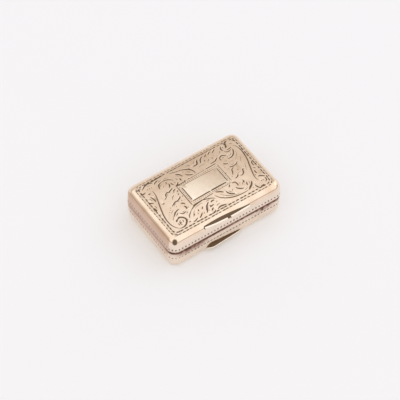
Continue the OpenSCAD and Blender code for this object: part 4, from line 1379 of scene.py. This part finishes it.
class VINAIGRETTE_OT_stage(bpy.types.Operator):
    """Set the camera, the pale floor and the light"""
    bl_idname = "vinaigrette.stage"
    bl_label = "Stage"

    def execute(self, context):
        stage = context.scene.vinaigrette_stage
        self.camera(context, stage)
        self.floor(stage)
        for name, (colour, corners) in CARDS.items():
            self.card(name, colour, corners)
        self.light(context)
        context.scene.view_settings.view_transform = "Standard"
        return {"FINISHED"}

    def camera(self, context, stage):
        turn, rise = stage.azimuth, stage.elevation
        back = Vector((math.sin(turn) * math.cos(rise), -math.cos(turn) * math.cos(rise),
                       math.sin(rise)))
        right = Vector((math.cos(turn), math.sin(turn), 0))
        up = back.cross(right)
        aside = (stage.lid_pixel[0] - FRAME_PX / 2) / stage.pixels_per_mm * MM
        above = (FRAME_PX / 2 - stage.lid_pixel[1]) / stage.pixels_per_mm * MM
        middle = Vector((0, 0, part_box("lid_top")[1].z)) - right * aside - up * above
        data = bpy.data.cameras.new("camera")
        data.sensor_width = SENSOR_MM
        data.lens = stage.pixels_per_mm / MM * stage.distance / FRAME_PX * SENSOR_MM
        data.clip_start = 0.01
        camera = add_piece("camera", data)
        turned = Matrix((right, up, back)).transposed().to_4x4()
        camera.matrix_world = Matrix.Translation(middle + back * stage.distance) @ turned
        context.scene.camera = camera

    def floor(self, stage):
        bpy.ops.object.select_all(action="DESELECT")
        bpy.ops.mesh.primitive_plane_add(size=4, location=(0, 0, CAD_BOX[0].z - FLOOR_GAP))
        floor = bpy.context.object
        floor.name = "floor"
        material, tree, shader, _ = finish("pale floor")
        lit, glow = (Vector(stage.floor) * Vector(share) for share in FLOOR_SHARES)
        feed(tree, shader.inputs["Base Color"], opaque(lit))
        feed(tree, shader.inputs["Emission Color"], opaque(glow))
        ray = add_node(tree, "ShaderNodeLightPath").outputs
        seen = calc(tree, "MAXIMUM", ray["Is Camera Ray"], ray["Is Glossy Ray"])
        feed(tree, shader.inputs["Emission Strength"], seen)
        feed(tree, shader.inputs["Roughness"], 0.9)
        feed(tree, shader.inputs["Specular IOR Level"], 0.1)
        floor.data.materials.append(material)

    def card(self, name, colour, corners):
        """A self-lit card that only polished metal sees."""
        mesh = bpy.data.meshes.new(name)
        mesh.from_pydata([Vector(corner) * MM for corner in corners], [], [range(len(corners))])
        piece = add_piece(name, mesh)
        piece.visible_camera = False
        piece.visible_shadow = False
        piece.visible_diffuse = False
        material, tree, shader, _ = finish(name)
        feed(tree, shader.inputs["Base Color"], opaque((0.0, 0.0, 0.0)))
        feed(tree, shader.inputs["Emission Color"], opaque(colour))
        feed(tree, shader.inputs["Emission Strength"], 1.0)
        feed(tree, shader.inputs["Roughness"], 1.0)
        feed(tree, shader.inputs["Specular IOR Level"], 0.0)
        piece.data.materials.append(material)

    def light(self, context):
        """White studio that is brightest overhead and in front, with a dim room round it."""
        world = bpy.data.worlds.new("studio")
        context.scene.world = world
        world.use_nodes = True
        tree = world.node_tree
        way = tree.nodes.new("ShaderNodeTexCoord").outputs["Generated"]
        lean = along_way(tree, way, BRIGHT_WAY)
        height = add_node(tree, "ShaderNodeSeparateXYZ", {0: way}).outputs["Z"]
        lit = spread(tree, lean, 0.33, 0.58, kind="SMOOTHSTEP")
        clear = spread(tree, height, -0.02, 0.36, kind="SMOOTHSTEP")
        behind = spread(tree, lean, 0.25, -0.1, kind="SMOOTHSTEP")
        room = blend(tree, lit, opaque(HAZE), opaque(SKY))
        room = blend(tree, spread(tree, lean, -0.2, 0.36), opaque(ROOM), room)
        room = blend(tree, clear, opaque(HORIZON), room)
        room = blend(tree, behind, room, opaque(BEHIND))
        feed(tree, tree.nodes["Background"].inputs["Color"], room)
        lamp = bpy.data.lights.new("side light", "AREA")
        lamp.size = LAMP_SIZE
        lamp.energy = LAMP_POWER
        side = add_piece("side light", lamp)
        side.location = LAMP_PLACE
        side.rotation_euler = (-Vector(LAMP_PLACE)).to_track_quat("-Z", "Y").to_euler()


class VINAIGRETTE_PT_panel(bpy.types.Panel):
    """The pieces, in the order that they are made"""
    bl_idname = "VINAIGRETTE_PT_panel"
    bl_label = "Vinaigrette"
    bl_space_type = "VIEW_3D"
    bl_region_type = "UI"
    bl_category = "Vinaigrette"

    def draw(self, context):
        for operator in OPERATORS:
            self.layout.operator(operator.bl_idname)
        for group in GROUPS:
            settings = getattr(context.scene, group)
            for name in settings.__annotations__:
                self.layout.prop(settings, name)


GROUPS = {
    "vinaigrette_form": VinaigretteForm,
    "vinaigrette_finish": VinaigretteFinish,
    "vinaigrette_stage": VinaigretteStage,
}
OPERATORS = (
    VINAIGRETTE_OT_lid_top,
    VINAIGRETTE_OT_walls,
    VINAIGRETTE_OT_base_bottom,
    VINAIGRETTE_OT_lips,
    VINAIGRETTE_OT_fittings,
    VINAIGRETTE_OT_sponge,
    VINAIGRETTE_OT_stage,
)


def register():
    for kind in (*GROUPS.values(), *OPERATORS, VINAIGRETTE_PT_panel):
        bpy.utils.register_class(kind)
    for name, kind in GROUPS.items():
        setattr(bpy.types.Scene, name, bpy.props.PointerProperty(type=kind))


def unregister():
    for name in GROUPS:
        delattr(bpy.types.Scene, name)
    for kind in (VINAIGRETTE_PT_panel, *reversed(OPERATORS), *GROUPS.values()):
        bpy.utils.unregister_class(kind)


def main():
    register()
    for operator in OPERATORS:
        group, name = operator.bl_idname.split(".")
        getattr(getattr(bpy.ops, group), name)()


if __name__ == "__main__":
    main()
